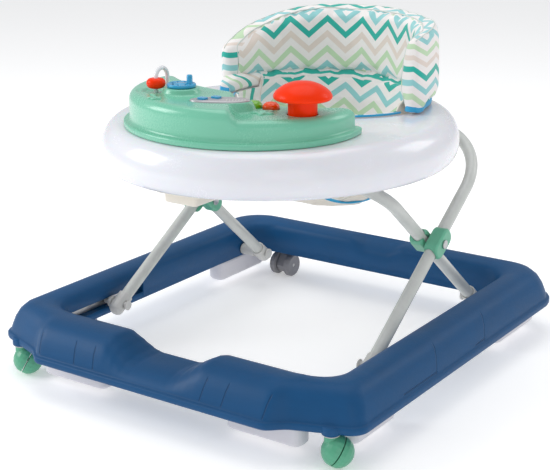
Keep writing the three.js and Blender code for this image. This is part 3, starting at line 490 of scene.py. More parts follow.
def curve_bend(p, q, r, s):
    def at(t):
        k = ((1 - t) ** 3, 3 * t * (1 - t) ** 2, 3 * t * t * (1 - t), t ** 3)
        return tuple(sum(w * v[i] for w, v in zip(k, (p, q, r, s))) for i in (0, 1))
    return at


def base_stations():
    """Outer and inner wall points of the ring, from the front centre round the right side and back."""
    front_in, rear_in = (210, -220), (207, 242)
    pairs = [
        (curve_line((0, FRONT), (195, FRONT)), curve_line((0, INNER_FRONT), (195, INNER_FRONT)), 64),
        (curve_bend((195, FRONT), (214, FRONT), (214, -335), (240, -327)),
         curve_line((195, INNER_FRONT), (210, INNER_FRONT)), 12),
        (curve_line((240, -327), (304, -303)), curve_arc(front_in, 42, -90, -50), 14),
        (curve_arc((294, -279), 26, -67, 0), curve_arc(front_in, 42, -50, 0), 12),
        (curve_line((HALF, -279), (HALF, 293)), curve_line((INNER_HALF, -220), (INNER_HALF, 242)), 60),
        (curve_arc((260, 293), 60, 0, 90), curve_arc(rear_in, 45, 0, 90), 24),
        (curve_line((260, REAR), (0, REAR)), curve_line((207, INNER_REAR), (0, INNER_REAR)), 60),
    ]
    half = [(o(i / n), q(i / n)) for o, q, n in pairs for i in range(n)]
    rear = [((0, REAR), (0, INNER_REAR))]
    return half + rear + [((-o[0], o[1]), (-q[0], q[1])) for o, q in reversed(half[1:])]


def rail_ring(outer, inner):
    dip = scoop = 0.0
    if outer[1] < -300:
        raw = 1.6 * (1 - abs(outer[0]) / DIP_HALF)
        quarters = min(max(raw, 0), 0.999) * 4
        steps = floor(quarters) / 4 + 0.25 * smoothstep(4 * (quarters % 1) - 3)
        dip = 0.8 * smoothstep(raw) + 0.2 * steps if raw < 1 else 1.0
    if outer[1] > 330:
        scoop = smoothstep(1.6 * (1 - abs(outer[0]) / SCOOP_HALF))
    ring = []
    for share, z in RAIL:
        above = max(0, z - 64) / (107 - 64)
        inward = max(0, 1 - share / 0.5)
        drop = dip * DIP * above + scoop * SCOOP * above * inward
        x, y = (inner[k] + (outer[k] - inner[k]) * share for k in (0, 1))
        ring.append((x, y, z - drop))
    return ring


def grooved_blue():
    """The base's plastic with the fine moulded lines on its rails, each line darkened with painted shade as
    if shade lay in its groove.
    """
    mat = MAT["blue"]
    tree = mat.node_tree
    s = Shader.__new__(Shader)
    s.mat, s.tree, s.bsdf = mat, tree, tree.nodes["Principled BSDF"]
    x, y, z = s.separate(s.place())
    side = s.math("ABSOLUTE", x)

    def line(value, middle, half):
        return s.remap(s.math("ABSOLUTE", s.minus(value, middle)), half * 0.4, half, 1.0, 0.0)

    def between(value, low, high):
        above = s.remap(value, low - 0.002, low)
        return s.times(above, s.remap(value, high, high + 0.004, 1.0, 0.0))

    marks = []
    lean = s.plus(y, s.times(s.minus(z, 0.062), -0.45))
    tall = s.times(between(z, 0.0635, 0.097), s.remap(side, 0.283, 0.286))
    for place in (-0.084, 0.070):
        marks.append(s.times(line(lean, place, 0.0013), tall))
    low = s.times(line(z, 0.0650, 0.0012), s.remap(side, 0.283, 0.286))
    for a, b in ((-0.178, -0.084), (0.040, 0.070)):
        marks.append(s.times(low, between(lean, a, b)))
    front = s.times(s.remap(y, -0.292, -0.298), between(z, 0.0645, 0.091))
    slant = s.plus(side, s.times(s.minus(z, 0.062), -0.16))
    for place in (0.095, 0.131, 0.198):
        marks.append(s.times(line(slant, place, 0.0012), front))
    total = marks[0]
    for m in marks[1:]:
        total = s.math("MAXIMUM", total, m)
    depth = s.times(total, -1.0)
    old_normal = s.bsdf.inputs["Normal"].links[0].from_socket
    old_colour = s.bsdf.inputs["Base Color"].links[0].from_socket
    # painted shade: the blue is darkened to a deep navy along the lines, where shade would fall in the
    # grooves
    groove_shaded_blue = s.mix(s.times(total, 0.45), old_colour, srgb(10, 52, 92))
    s.done(groove_shaded_blue, None, s.bump(depth, 0.0009, 1.0, normal=old_normal))


def make_base():
    grooved_blue()
    ring = loft("base_shell", [rail_ring(o, i) for o, i in base_stations()], "blue", endless=True)
    slots = [block(sorted((side * 240, side * 266)), (-226, -45), (61, 77)) for _, side in LR]
    bores = []
    for _, side in LR:
        bores.append(rod("bore", 4.6, 40, 58, (side * FRONT_STEM[0], FRONT_STEM[1], 0), 32))
        bores.append(rod("bore", 5.5, 40, 82, (side * REAR_STEM[0], REAR_STEM[1], 0), 32))
        bores.append(rod("bore", 6.3, 240, 274, REAR_PIVOT, 32, (side, 0, 0)))
    cut_with(ring, slots + bores)
    onto(ring, "base", "base_frame", slot="base_blue")
    for name, side in LR:
        boss = lathe("caster_boss_" + name, BOSS, (side * FRONT_STEM[0], FRONT_STEM[1], 0), "blue", 48)
        onto(boss, "base", slot="base_blue")


# ---- tray

TRAY_CENTRE, TRAY_X, TRAY_Y = (0, -6), 262.0, 290.0
HOLE_CENTRE, HOLE_X, HOLE_Y = (0, 116), 158.0, 128.0
SKIRT_OUT = [(7.4, 325), (5.2, 327.6), (2.4, 333), (0.5, 341), (0, 349), (0.7, 357), (3.2, 366), (7.5, 374.6),
             (12.5, 380.8), (18.5, 385.3), (25, 387.6), (33, 388)]
HOLE_LIP = [(9, 388), (4.5, 387.6), (1.4, 386), (0, 383), (0, 374), (1.4, 373), (3.6, 374), (4, 377),
            (4, 384)]
SKIRT_IN = [(33, 384), (24.5, 383.6), (17, 380), (10.6, 373.6), (6.4, 364), (4.4, 352), (4.6, 343),
            (6.6, 334), (9.4, 328), (10.2, 325.6), (8.9, 324.95)]
SKIRT_LOW = 325


def make_tray():
    rings = []
    steps = 320
    for i in range(steps):
        a = TAU * i / steps
        c, s = cos(a), sin(a)
        out = Vector((c / TRAY_X, s / TRAY_Y)).normalized()
        rim = Vector((c / HOLE_X, s / HOLE_Y)).normalized()
        ring = []
        for group, centre, rx, ry, way, sign in ((SKIRT_OUT, TRAY_CENTRE, TRAY_X, TRAY_Y, out, -1),
                                                (HOLE_LIP, HOLE_CENTRE, HOLE_X, HOLE_Y, rim, 1),
                                                (SKIRT_IN, TRAY_CENTRE, TRAY_X, TRAY_Y, out, -1)):
            for d, z in group:
                x = centre[0] + rx * c + sign * d * way.x
                y = centre[1] + ry * s + sign * d * way.y
                ring.append((x, y, max(z, SKIRT_LOW)))
        rings.append(ring)
    tray = loft("tray_shell", rings, "tray", endless=True)
    cut_with(tray, [block((-152, 152), (205, 320), (300, 347))])
    onto(tray, "tray", "tray", slot="tray_white")


# ---- toy tray

TOY_CENTRE, TOY_X, TOY_Y = (0, -105), 180.0, 167.0
TOY_BACK, TOY_DECK_BACK = 232.0, 237.0
STEP, STEP_TURN = (28.0, -178.0), radians(33.7)
LOW_DECK, HIGH_DECK = 426.0, 440.0
PANEL, PANEL_TURN = (21.0, -192.0), radians(32)
DIAL, MUSHROOM = (-58.0, -177.0), (128.0, -146.0)
ARCH, BEAD, SHELF = (-98, -172), (-98, -185), (-98, -180)
LENSES = {"green": (46.0, -146.0), "orange": (72.0, -141.0)}
TOY_LIP = [(1.5, 388.3), (0.4, 388.8), (0, 389.8), (0, 395.0), (0.5, 396.4), (1.8, 397), (5.5, 397),
           (7.6, 397.5), (8.7, 399.4), (9, 402)]
TOY_UNDER = ((24, 380), (24, 405), (32, 413))
PETALS = ((1.0, -0.6), (0.97, 0.8), (0.85, 1.9), (0.6, 2.3), (0.42, 1.6), (0.36, 2.6), (0.2, 3.4),
          (0.02, 3.6))
LEAF = ((1.0, -0.6), (0.95, 0.8), (0.8, 1.6), (0.4, 2.2), (0.03, 2.4))


def turned(x, y, centre, angle):
    """A point in axes that are turned about a centre."""
    dx, dy = x - centre[0], y - centre[1]
    return dx * cos(angle) + dy * sin(angle), dy * cos(angle) - dx * sin(angle)


def deck(x, y):
    """Height of the toy tray's top: a low right deck, a high left one, seats for dial and panel."""
    across = turned(x, y, STEP, STEP_TURN)[0]
    z = LOW_DECK + (HIGH_DECK - LOW_DECK) * smoothstep((14 - across) / 17)
    u, v = turned(x, y, PANEL, PANEL_TURN)
    oval = hypot(u / 47, v / 24)
    z = max(z, LOW_DECK + (HIGH_DECK - LOW_DECK) * smoothstep((1.12 - oval) / 0.20))
    seat = smoothstep((28.5 - dist((x, y), DIAL)) / 4.0)
    shelf = smoothstep((25 - dist((x, y), SHELF)) / 6.0)
    z += 8 * seat - 3.5 * shelf * (1 - seat)
    back = dist((x, y), HOLE_CENTRE) - TOY_DECK_BACK - 4
    bevel = 9.0
    if back < bevel:
        z -= bevel * (1 - sqrt(max(0, 1 - (1 - max(0, back) / bevel) ** 2)))
    return z


def prism(name, outline, low, high):
    count = len(outline)
    points = [(x, y, low) for x, y in outline] + [(x, y, high) for x, y in outline]
    faces = [tuple(range(count))[::-1], tuple(range(count, 2 * count))]
    faces += [(i, (i + 1) % count, (i + 1) % count + count, i + count) for i in range(count)]
    return new_object(name, points, faces, "mint")


def crescent(inset, back, round_end):
    """Plan of the toy tray: an ellipse less a disc about the seat hole, with rounded ends."""
    rx, ry = TOY_X - inset, TOY_Y - inset
    low, high = radians(-20), radians(60)
    for _ in range(40):
        t = (low + high) / 2
        spot = ((rx - round_end) * cos(t), TOY_CENTRE[1] + (ry - round_end) * sin(t))
        if dist(spot, HOLE_CENTRE) > back + round_end:
            low = t
        else:
            high = t
    away = atan2(HOLE_CENTRE[1] - spot[1], HOLE_CENTRE[0] - spot[0])
    out = atan2(sin(t) / ry, cos(t) / rx)
    right = [polar(spot, round_end, out + (away - out) * i / 16) for i in range(17)]
    start = atan2(right[-1][1] - HOLE_CENTRE[1], right[-1][0])
    arc = [(back * cos(a), HOLE_CENTRE[1] + back * sin(a))
           for a in (start + (-pi / 2 - start) * i / 60 for i in range(1, 60))]
    rear = right + arc
    rear = rear + [(0, HOLE_CENTRE[1] - back)] + [(-x, y) for x, y in rear[::-1]]
    first, last = pi - t, TAU + t
    turns = [first + (last - first) * i / 200 for i in range(1, 200)]
    front = [(rx * cos(a), TOY_CENTRE[1] + ry * sin(a)) for a in turns]
    return rear + front


def make_toy_tray():
    steps = 300
    cx, cy = TOY_CENTRE
    rings = [ellipse(TOY_CENTRE, TOY_X - d, TOY_Y - d, z, steps) for d, z in TOY_LIP]
    radius = 13.0
    for i in range(25):
        t = pi / 2 * i / 24
        inset, drop = 9 + radius * (1 - cos(t)), radius * (1 - sin(t))
        ring = []
        for x, y, _ in ellipse(TOY_CENTRE, TOY_X - inset, TOY_Y - inset, 0, steps):
            top = deck(cx + (x - cx) * 0.95, cy + (y - cy) * 0.95)
            ring.append((x, y, top - drop))
        rings.append(ring)
    inner = 9 + radius
    for i in range(1, 96):
        k = 1 - i / 96
        ring = []
        for x, y, _ in ellipse(TOY_CENTRE, (TOY_X - inner) * k, (TOY_Y - inner) * k, 0, steps):
            edge = smoothstep(i / 5)
            rim = deck(cx + (x - cx) / k * 0.95, cy + (y - cy) / k * 0.95)
            ring.append((x, y, rim + (deck(x, y) - rim) * edge))
        rings.append(ring)
    body = loft("toy_tray_shell", rings, "mint")
    rings = [ellipse(TOY_CENTRE, TOY_X - d, TOY_Y - d, z, 200) for d, z in TOY_UNDER]
    under = loft("under", rings, "mint")
    cut_with(under, [rod("under_room", 249, 300, 500, HOLE_CENTRE + (0,), 200)])
    room = prism("crescent_low", crescent(-1.0, TOY_BACK, 16), 380, 397.2)
    cut_with(room, [prism("crescent_high", crescent(6.0, TOY_DECK_BACK, 15), 392, 480)], "UNION")
    cut_with(body, [room], "INTERSECT")
    cut_with(body, [
        rod("pocket", 21.3, 419.5, 446, MUSHROOM + (0,), 64),
        rod("bore", 6.4, 400, 425, MUSHROOM + (0,), 40),
        oval_plate("panel_room", PANEL, 42.4, 19.4, PANEL_TURN, 437, 450, "mint"),
        *[rod("lens_room", 12.7, 423, 446, spot + (0,), 40) for spot in LENSES.values()],
        under,
    ])
    soften(body, 1.3, 5)
    onto(body, "toy_tray", "toy_tray", slot="mint_plastic")
    blossom("flower_emboss_right", (80, -172), LOW_DECK, 15.0)
    blossom("flower_emboss_left", (-62, -232), HIGH_DECK, 9.0)
    leaf("leaf_emboss_1", (-104, -206), HIGH_DECK - 2, 25)
    leaf("leaf_emboss_2", (-80, -214), HIGH_DECK, -35)


def oval_plate(name, centre, rx, ry, angle, low, high, mat, steps=96, edge=0.0):
    rings = []
    for d, z in ((edge, low), (0, low + edge), (0, high - edge), (edge, high)):
        points = [((rx - d) * cos(TAU * i / steps), (ry - d) * sin(TAU * i / steps)) for i in range(steps)]
        rings.append([(centre[0] + x * cos(angle) - y * sin(angle),
                       centre[1] + x * sin(angle) + y * cos(angle), z) for x, y in points])
    if edge == 0:
        rings = [rings[0], rings[2]]
    return loft(name, rings, mat)


def relief(name, rows, z, steps, place):
    """A low moulded mark on the toy tray; place gives the outline of each row."""
    rings = [[place(d, TAU * i / steps) + (z + rise,) for i in range(steps)] for d, rise in rows]
    onto(loft(name, rings, "mint"), "toy_tray", slot="mint_plastic")


def blossom(name, centre, z, size):
    """Five petals and a button."""
    def place(d, a):
        lobes = 1 + (0.22 * cos(5 * a) if d > 0.5 else 0)
        return polar(centre, size * d * lobes, a)

    relief(name, PETALS, z, 90, place)


def leaf(name, centre, z, turn):
    c, s = cos(radians(turn)), sin(radians(turn))

    def place(d, a):
        x, y = 11 * d * cos(a), 4.2 * d * sin(a) * abs(sin(a)) ** 0.3
        return centre[0] + x * c - y * s, centre[1] + x * s + y * c

    relief(name, LEAF, z, 60, place)


CAP_ROWS = [
    (0, 405), (5.6, 405), (6, 405.5), (6, 424.8), (20.3, 424.8), (20.5, 425.2), (20.5, 442.8), (21.2, 444.9),
    (23.5, 445.7), (35, 445.9), (38.6, 446.5), (40.5, 448.2), (41, 450.4), (40.4, 452.8), (37.8, 456.9),
    (33, 461.2), (26, 465.6), (17, 469.1), (8, 470.8), (0.5, 471),
]
DIAL_ROWS = [
    (0, 436), (4, 436), (4, 448.4), (19.6, 448.4), (20.6, 449), (21, 450), (21, 452), (20.4, 453),
    (19.4, 453.5), (17.5, 453.5), (17, 452.7), (9, 452.7), (8.4, 453.5), (0.3, 453.5),
]
PEG, PEG_ROWS = (-51, -167, 0), [(0, 451), (4.4, 451), (4.2, 463), (3.2, 464.7), (0.2, 465)]
PIP_ROWS = [(0, 452.2), (1.3, 452.2), (1.0, 453.3), (0.1, 453.6)]
BEAD_ROWS = [(3.8, 443.2), (7, 443.1), (10.6, 444.1), (13.1, 446.6), (14, 450.5), (13.1, 454.4),
             (10.6, 456.9), (7, 457.9), (3.8, 457.8)]
LENS_ROWS = [(0, 423.4), (12.2, 423.4), (12.2, 429.4), (11.6, 430.6), (9.6, 432.8), (6.4, 434.6),
             (3.4, 435.3), (0.2, 435.5)]
FACET_ROWS = [(0, 432), (2.3, 432), (1.6, 433.9), (0.1, 434.6)]


def make_dial():
    dial = lathe("dial_fine", DIAL_ROWS, DIAL + (0,), "aqua", 96)
    cut_with(dial, [lathe("dial_peg", PEG_ROWS, PEG, "aqua", 40)], "UNION")
    smooth_shading(dial)
    onto(dial, "dial", "dial", slot="blue_plastic")
    for i in range(8):
        spot = polar(DIAL, 13.2, TAU * i / 8 + 0.3)
        onto(lathe(f"dial_pip_{i}", PIP_ROWS, spot + (0,), "blue", 16), "dial", slot="blue_plastic")


def make_arch():
    x, y = ARCH
    radius, top, foot, knee = 13, 471, 433, 446
    path = [(x, y - radius, foot), (x, y - radius, knee)]
    path += [(x, y - radius * cos(pi * i / 28), top - radius + radius * sin(pi * i / 28)) for i in range(29)]
    path += [(x, y + radius, knee), (x, y + radius, foot)]
    arch = tube("toy_arch_fine", path, 3.1, "white", 20, up=(1, 0, 0))
    onto(arch, "toy_tray", "toy_arch", slot="tray_white")
    bead = lathe("bead_fine", BEAD_ROWS, BEAD + (0,), "orange", 72)
    smooth_shading(bead)
    onto(bead, "bead", "bead", slot="orange_plastic")


def make_lenses():
    for colour, slot in (("green", "lens_green_plastic"), ("orange", "orange_plastic")):
        spot, node = LENSES[colour], "lens_" + colour
        onto(lathe(node + "_fine", LENS_ROWS, spot + (0,), node, 64), "toy_tray", node, slot=slot)
        for i in range(6):
            centre = polar(spot, 7.2, TAU * i / 6) + (0,)
            onto(lathe(f"{node}_facet_{i}", FACET_ROWS, centre, node, 12), "toy_tray", slot=slot)


def make_panel():
    panel = oval_plate("sound_panel_fine", PANEL, 41.8, 18.8, PANEL_TURN, 437.3, 441.5, "silver", 128, 0.8)
    rooms = [block((x - 7, x + 7), (y - 5.4, y + 5.4), (430, 450)) for x, y in ((0, -204), (11, -187))]
    cut_with(panel, rooms)
    onto(panel, "toy_tray", "sound_panel", slot="silver_plastic")
    for i in range(7):
        bar = oval_plate(f"sound_slot_{i}", (32 + 3.6 * i, -191 + 2.25 * i), 0.7, 9 - 0.9 * i, PANEL_TURN,
                         441.2, 442.2, "cap", 24, 0.2)
        onto(bar, "toy_tray", slot="silver_plastic")
    for name in ("panel_button_left", "panel_button_right"):
        moulded(name, "aqua", name, 0.35, 3)


def make_toys():
    cap = lathe("mushroom_fine", CAP_ROWS, MUSHROOM + (0,), "orange", 96)
    onto(cap, "mushroom_button", "mushroom_button", slot="orange_plastic")
    make_dial()
    make_arch()
    make_lenses()
    make_panel()


# ---- scissor frame

TUBE_RADIUS, TUBE_TAIL = 9.5, 11.0
HUB = (76.07, 199.56)


def hoop(name, node, body, foot, hub_x, bend, crossbar):
    """A bent tube hoop: up one leg, round a bend, along the crossbar and down the other leg."""
    run = dist(foot[1:], crossbar)
    taper = (foot[0] - hub_x) / dist(foot[1:], HUB)
    top_x = foot[0] - taper * (run - bend)
    legs = [(foot[0], -TUBE_TAIL), (foot[0], 0)]
    legs += [(foot[0] + (top_x - foot[0]) * i / 14, (run - bend) * i / 14) for i in range(1, 14)]
    turn = [pi / 2 * i / 26 for i in range(27)]
    bends = [(top_x - bend * (1 - cos(t)), run - bend * (1 - sin(t))) for t in turn]
    bar = [((top_x - bend) * (1 - i / 8), run) for i in range(1, 9)]
    half = legs + bends + bar
    way = ((crossbar[0] - foot[1]) / run, (crossbar[1] - foot[2]) / run)
    path = [(s * x, foot[1] + up * way[0], foot[2] + up * way[1])
            for s, side in ((1, half), (-1, half[-2::-1])) for x, up in side]
    made = tube(name, path, TUBE_RADIUS, "tube", 28, up=(0, -way[1], way[0]))
    return onto(made, body, node, slot="tube_paint")


# Node, material, body, voxel in mm and rounds of relaxing; {} stands for the side.
PAIRS = (
    ("foot_cap_a_{}", "cap", "outer_hoop", 0.7, 3),
    ("foot_cap_b_{}", "cap", "inner_hoop", 0.7, 3),
    ("slide_pin_{}", "cap", "outer_hoop", 0.5, 2),
    ("pivot_pin_{}", "cap", "base", 0.6, 2),
    ("hub_clamp_{}", "hub", "outer_hoop", 0.7, 5),
    ("hub_cradle_{}", "hub", "inner_hoop", 0.7, 5),
    ("hub_rivet_{}", "steel", "outer_hoop", 0.5, 2),
    ("caster_collar_front_{}", "cap", "base", 0.4, 1),
    ("caster_hood_front_{}", "caster", "front_caster_{}", 0.5, 3),
    ("caster_wheel_front_{}", "caster", "front_wheel_{}", 0.5, 3),
    ("caster_axle_front_{}", "steel", "front_caster_{}", 0.35, 1),
    ("caster_yoke_rear_{}", "wheel", "rear_caster_{}", 0.5, 3),
    ("caster_twin_wheel_rear_{}", "wheel", "rear_wheel_{}", 0.5, 3),
    ("caster_axle_rear_{}", "steel", "rear_wheel_{}", 0.35, 1),
    ("slide_strip_{}", "steel", "base", 0.45, 1),
    ("brake_pad_front_{}", "pad", "base", 1.2, 3),
    ("brake_pad_side_front_{}", "pad", "base", 1.2, 3),
    ("brake_pad_side_rear_{}", "pad", "base", 1.2, 3),
    ("rear_bracket_{}", "cream", "tray", 0.8, 3),
)
SINGLES = (
    ("height_lock_housing", "cream", "tray", 0.9, 3),
    ("height_guide", "cream", "tray", 0.9, 3),
    ("lock_lever", "red", "lock_lever", 0.5, 2),
    ("sound_module", "black", "toy_tray", 0.7, 2),
)


def make_frame():
    hoop("hoop_a_fine", "hoop_a", "outer_hoop", (232, -127, 69), 226, 130, (281.1, 331.4))
    hoop("hoop_b_fine", "hoop_b", "inner_hoop", (210, 240, 62), 204, 68, (-56.1, 310.4))
    for name, _ in LR:
        for node, mat, body, voxel, rounds in PAIRS:
            moulded(node.format(name), mat, body.format(name), voxel, rounds)
    for row in SINGLES:
        moulded(*row)


# ---- padded seat

SEAT_Y = 100.0
PAD_MIDDLE, PAD_HALF = 166.0, 16.0
BAND_MIDDLE, BAND_HALF, BAND_FOOT = 161.5, 15.5, 388.9
TRAY_TOP_M = 0.3884
ROUND = 150.0
PAD_REACH, PAD_END, INNER_SEAM, OUTER_SEAM = 98, 93.0, 154.0, 177.5
BAND_REACH, BAND_CUT = (-104, 88), 73


def crease_z(angle):
    """Height of the crease between the back pad and the band, a little uneven."""
    s = angle * ROUND
    rise = 4 * smoothstep((abs(degrees(angle)) - 78) / 18) - 3 * smoothstep((degrees(angle) + 15) / 30)
    return 409 + rise + 1.1 * sin(s / 6.5) + 0.7 * sin(s / 3.7 + 1)


LEFT_WING = ((0, 526), (30, 525), (45, 520.5), (55, 514), (67, 504), (80, 491), (90, 475), (98, 462))
RIGHT_WING = ((0, 526), (60, 522), (80, 517), (90, 512), (98, 505))


def fold_z(angle):
    """Height of the second fold, a little below the crease."""
    return crease_z(angle) - 8 + 4.4 * smoothstep((degrees(angle) - 5) / 22)


def pad_top(angle):
    """Height of the back pad's top: the left wing runs down further than the right one."""
    wing, turn = (LEFT_WING if angle < 0 else RIGHT_WING), min(PAD_REACH, abs(degrees(angle)))
    for (a, low), (b, high) in zip(wing, wing[1:]):
        if turn <= b:
            return low + (high - low) * (turn - a) / (b - a)


def wrap_pad(name, reach, middle, half, low, high, mat, shrink):
    """A rounded section swept round the seat between two angles, a little slimmer than the finished pad."""
    stations, sides = 120, 36
    start, stop = (radians(r) for r in reach)
    rings = []
    for i in range(stations + 1):
        angle = start + (stop - start) * i / stations
        ends = min(angle - start, stop - angle) * middle
        edge = sqrt(max(0.02, 1 - (1 - min(1, (ends + 2) / 16)) ** 2))
        bottom, top = low(angle) + shrink, high(angle) - shrink
        mid, tall = (bottom + top) / 2, (top - bottom) / 2 * (0.84 + 0.16 * edge)
        ring = []
        for j in range(sides):
            turn = TAU * (j + 0.5) / sides
            c, s = cos(turn), sin(turn)
            across = middle + (half - shrink) * edge * copysign(abs(c) ** 0.42, c)
            ring.append((across * sin(angle), SEAT_Y + across * cos(angle),
                         mid + tall * copysign(abs(s) ** 0.42, s)))
        rings.append(ring)
    return loft(name, rings, mat)


def inflate(obj, voxel, pressure, cap):
    """Fills the pad with air as cloth, and keeps the shape it settles in."""
    remesh(obj, voxel)
    apply_all(obj)
    start = np.array([v.co[:] for v in obj.data.vertices])
    cloth = obj.modifiers.new("cloth", "CLOTH")
    cloth.settings.quality = 5
    cloth.settings.use_pressure = True
    cloth.settings.uniform_pressure_force = pressure
    cloth.settings.effector_weights.gravity = 0
    cloth.point_cache.frame_start, cloth.point_cache.frame_end = 1, 20
    for frame_number in range(1, 21):
        bpy.context.scene.frame_set(frame_number)
    apply_all(obj)
    end = np.array([v.co[:] for v in obj.data.vertices])
    step = end - start
    step -= step.mean(0)
    size = np.linalg.norm(step, axis=1, keepdims=True)
    limit = cap * MM
    step *= np.minimum(1, limit / np.maximum(size, 1e-9))
    obj.data.vertices.foreach_set("co", (start + step).ravel())
    bpy.context.scene.frame_set(1)
    relax(obj, 3)
    fine = obj.modifiers.new("fine", "SUBSURF")
    fine.levels = fine.render_levels = 1
    return apply_all(obj)


def seat_angle(co):
    return atan2(co[0], co[1] - SEAT_Y)


def round_seat(co):
    """Place of a point on the print: the way round the seat, and its height."""
    return seat_angle(co) * ROUND, co[2]


def seat_radius(co):
    return hypot(co[0], co[1] - SEAT_Y)


def pucker(obj, seam_gap, depth, wave):
    """Small gathers that run out from a seam, where the thread draws the cloth in."""
    normals = [v.normal.copy() for v in obj.data.vertices]
    for v, normal in zip(obj.data.vertices, normals):
        co = v.co / MM
        near = exp(-(seam_gap(co) / 9.0) ** 2)
        s = seat_angle(co) * ROUND
        ripple = sin(TAU * s / wave + 1.3 * sin(s / 23)) * (0.6 + 0.4 * sin(s / 31))
        v.co += normal * (near * depth * ripple * MM)


def lay_uv(obj, name, place):
    layer = obj.data.uv_layers.new(name=name)
    spots = [place(v.co / MM) for v in obj.data.vertices]
    flat = []
    for loop in obj.data.loops:
        u, v = spots[loop.vertex_index]
        flat += [u * MM, v * MM]
    layer.data.foreach_set("uv", flat)


def surface_path(obj, guesses, lift):
    """Points of a seam drawn on to the cloth, a little proud of it."""
    tree = BVHTree.FromObject(obj, bpy.context.evaluated_depsgraph_get())
    path = []
    for g in guesses:
        spot, normal = tree.find_nearest(Vector(g) * MM)[:2]
        path.append((spot + normal * lift * MM) / MM)
    for _ in range(2):
        path = [path[0]] + [(a + b * 2 + c) / 4 for a, b, c in zip(path, path[1:], path[2:])] + [path[-1]]
    return path


def on_seat(angle, radius, z):
    return (radius * sin(angle), SEAT_Y + radius * cos(angle), z)


def rest_on_tray(obj):
    for v in obj.data.vertices:
        v.co.z = max(v.co.z, TRAY_TOP_M)


def pad_low(angle):
    return crease_z(angle) - 12 - 13 * smoothstep((degrees(angle) - 85) / 4)


def pad_crease(co):
    """Distance from the back pad's top seams; it grows down the pad, where the puckers die out."""
    gap = min(abs(seat_radius(co) - INNER_SEAM), abs(seat_radius(co) - 178))
    return gap + 0.6 * max(0, pad_top(seat_angle(co)) - 14 - co[2])


def pad_print(co):
    """The inner wall's print, stretched a little towards the right wing."""
    u = seat_angle(co) * ROUND
    return u + 0.19 * max(0, u + 20), co[2]


def pad_gusset_print(co):
    """The print on the top edge, the outer face and the wings' ends."""
    turn, r = degrees(abs(seat_angle(co))), seat_radius(co)
    over = smoothstep((88 - turn) / 10)
    u = (r - ROUND) * (1 - over) + 32 * over + (97 - turn) * 3.14 - 30
    v = co[2] - (459 if co[0] > 0 else 449)
    return PEAK + (u if u > 0 else 0.3 * u), 516 + v * (1.5 if v > 0 else 1.19) + (r - 182) * 0.9 * over


def pad_seam(co):
    """Negative on the inner wall, positive on the rest of the back pad."""
    turn, r = degrees(abs(seat_angle(co))), seat_radius(co)
    return max(r - 155, (turn - PAD_END) * 2.6), 0


def pipe_seam(pad, name, guesses):
    piece = tube("back_pad_piping_" + name, surface_path(pad, guesses, 0.2), 1.0, "piping", 10)
    lay_uv(piece, "cut", pad_print)
    onto(piece, "tray", slot="chevron_fabric")


def make_back_pad():
    pad = wrap_pad("back_pad_cloth", (-PAD_REACH, PAD_REACH), PAD_MIDDLE, PAD_HALF, pad_low, pad_top,
                   "chevron", 3.0)
    inflate(pad, 5.0, 4.0, 8.0)
    pucker(pad, pad_crease, 1.1, 17)
    lay_uv(pad, "cut", pad_print)
    lay_uv(pad, "gusset", pad_gusset_print)
    lay_uv(pad, "panel", pad_seam)
    onto(pad, "tray", "seat_back_pad", slot="chevron_fabric")

    top = [radians(-PAD_END + 2 * PAD_END * i / 110) for i in range(111)]
    guesses = [on_seat(radians(-PAD_END), 148, 412 + i * 8) for i in range(6)]
    guesses += [on_seat(a, INNER_SEAM, pad_top(a) - 4) for a in top]
    guesses += [on_seat(radians(PAD_END), 148, 400 + i * 9.5) for i in range(11, -1, -1)]
    pipe_seam(pad, "inner", guesses)
    outer_arc = [radians(-96 + 192 * i / 120) for i in range(121)]
    pipe_seam(pad, "outer", [on_seat(a, OUTER_SEAM, pad_top(a) - 4) for a in outer_arc])
    return pad


def end_print(co):
    """The left end is cut with the print's stripes upright; they lean back over the band's top."""
    turn = -72 - degrees(seat_angle(co))
    lean = 26 * (max(0, co[2] - 392) / 20) ** 2
    return PEAK, 409 + lean - turn * 2.62 - max(0, seat_radius(co) - 152)


def past_cut(co):
    """Positive beyond the seam where the left end's own cloth begins."""
    return (-degrees(seat_angle(co)) - BAND_CUT) * 2.8


def bind_band(band, back_pad, name, side, stop):
    """Binding along the band's foot and round its end; the right one runs on over the back pad."""
    guesses = [on_seat(radians(side * (60 + (stop - 60) * i / 34)), 184, 392.5) for i in range(35)]
    guesses += [on_seat(radians(side * (stop + 4)), 180 - 3 * i, 392.5) for i in range(11)]
    if side < 0:
        path = surface_path(band, guesses, 0.6)
    else:
        path = surface_path(band, guesses[:21], 0.6)[:20] + surface_path(back_pad, guesses[22:], 0.6)
    strip = tube("band_binding_" + name, path, 4.4, "binding", 16, flat=0.34, up=(0, 0, 1))
    rest_on_tray(strip)
    lay_uv(strip, "cut", round_seat)
    onto(strip, "tray", slot="chevron_fabric")


def make_band(back_pad):
    def high(angle):
        return crease_z(angle) + 5 - 5 * smoothstep((abs(degrees(angle)) - 94) / 8)

    band = wrap_pad("seat_band_cloth", BAND_REACH, BAND_MIDDLE, BAND_HALF, lambda a: BAND_FOOT, high,
                    "chevron_low", 1.5)
    inflate(band, 4.0, 3.0, 5.0)
    pucker(band, lambda co: abs(co[2] - 414), 0.9, 21)
    rest_on_tray(band)
    lay_uv(band, "cut", round_seat)
    lay_uv(band, "gusset", end_print)
    lay_uv(band, "panel", lambda co: (past_cut(co), 0))
    onto(band, "tray", "seat_band", slot="chevron_fabric")
    bind_band(band, back_pad, "left", -1, 103)
    bind_band(band, back_pad, "right", 1, 96.5)
    turns = [radians(-160 + 148 * i / 120) for i in range(121)]
    rim = [(154.5 * cos(t), 116 + 124.5 * sin(t), 389.2) for t in turns]
    ring = tube("hole_binding", rim, 1.7, "binding", 12, flat=0.7)
    lay_uv(ring, "cut", round_seat)
    onto(ring, "tray", slot="plain_fabric")


# ---- hanging sling

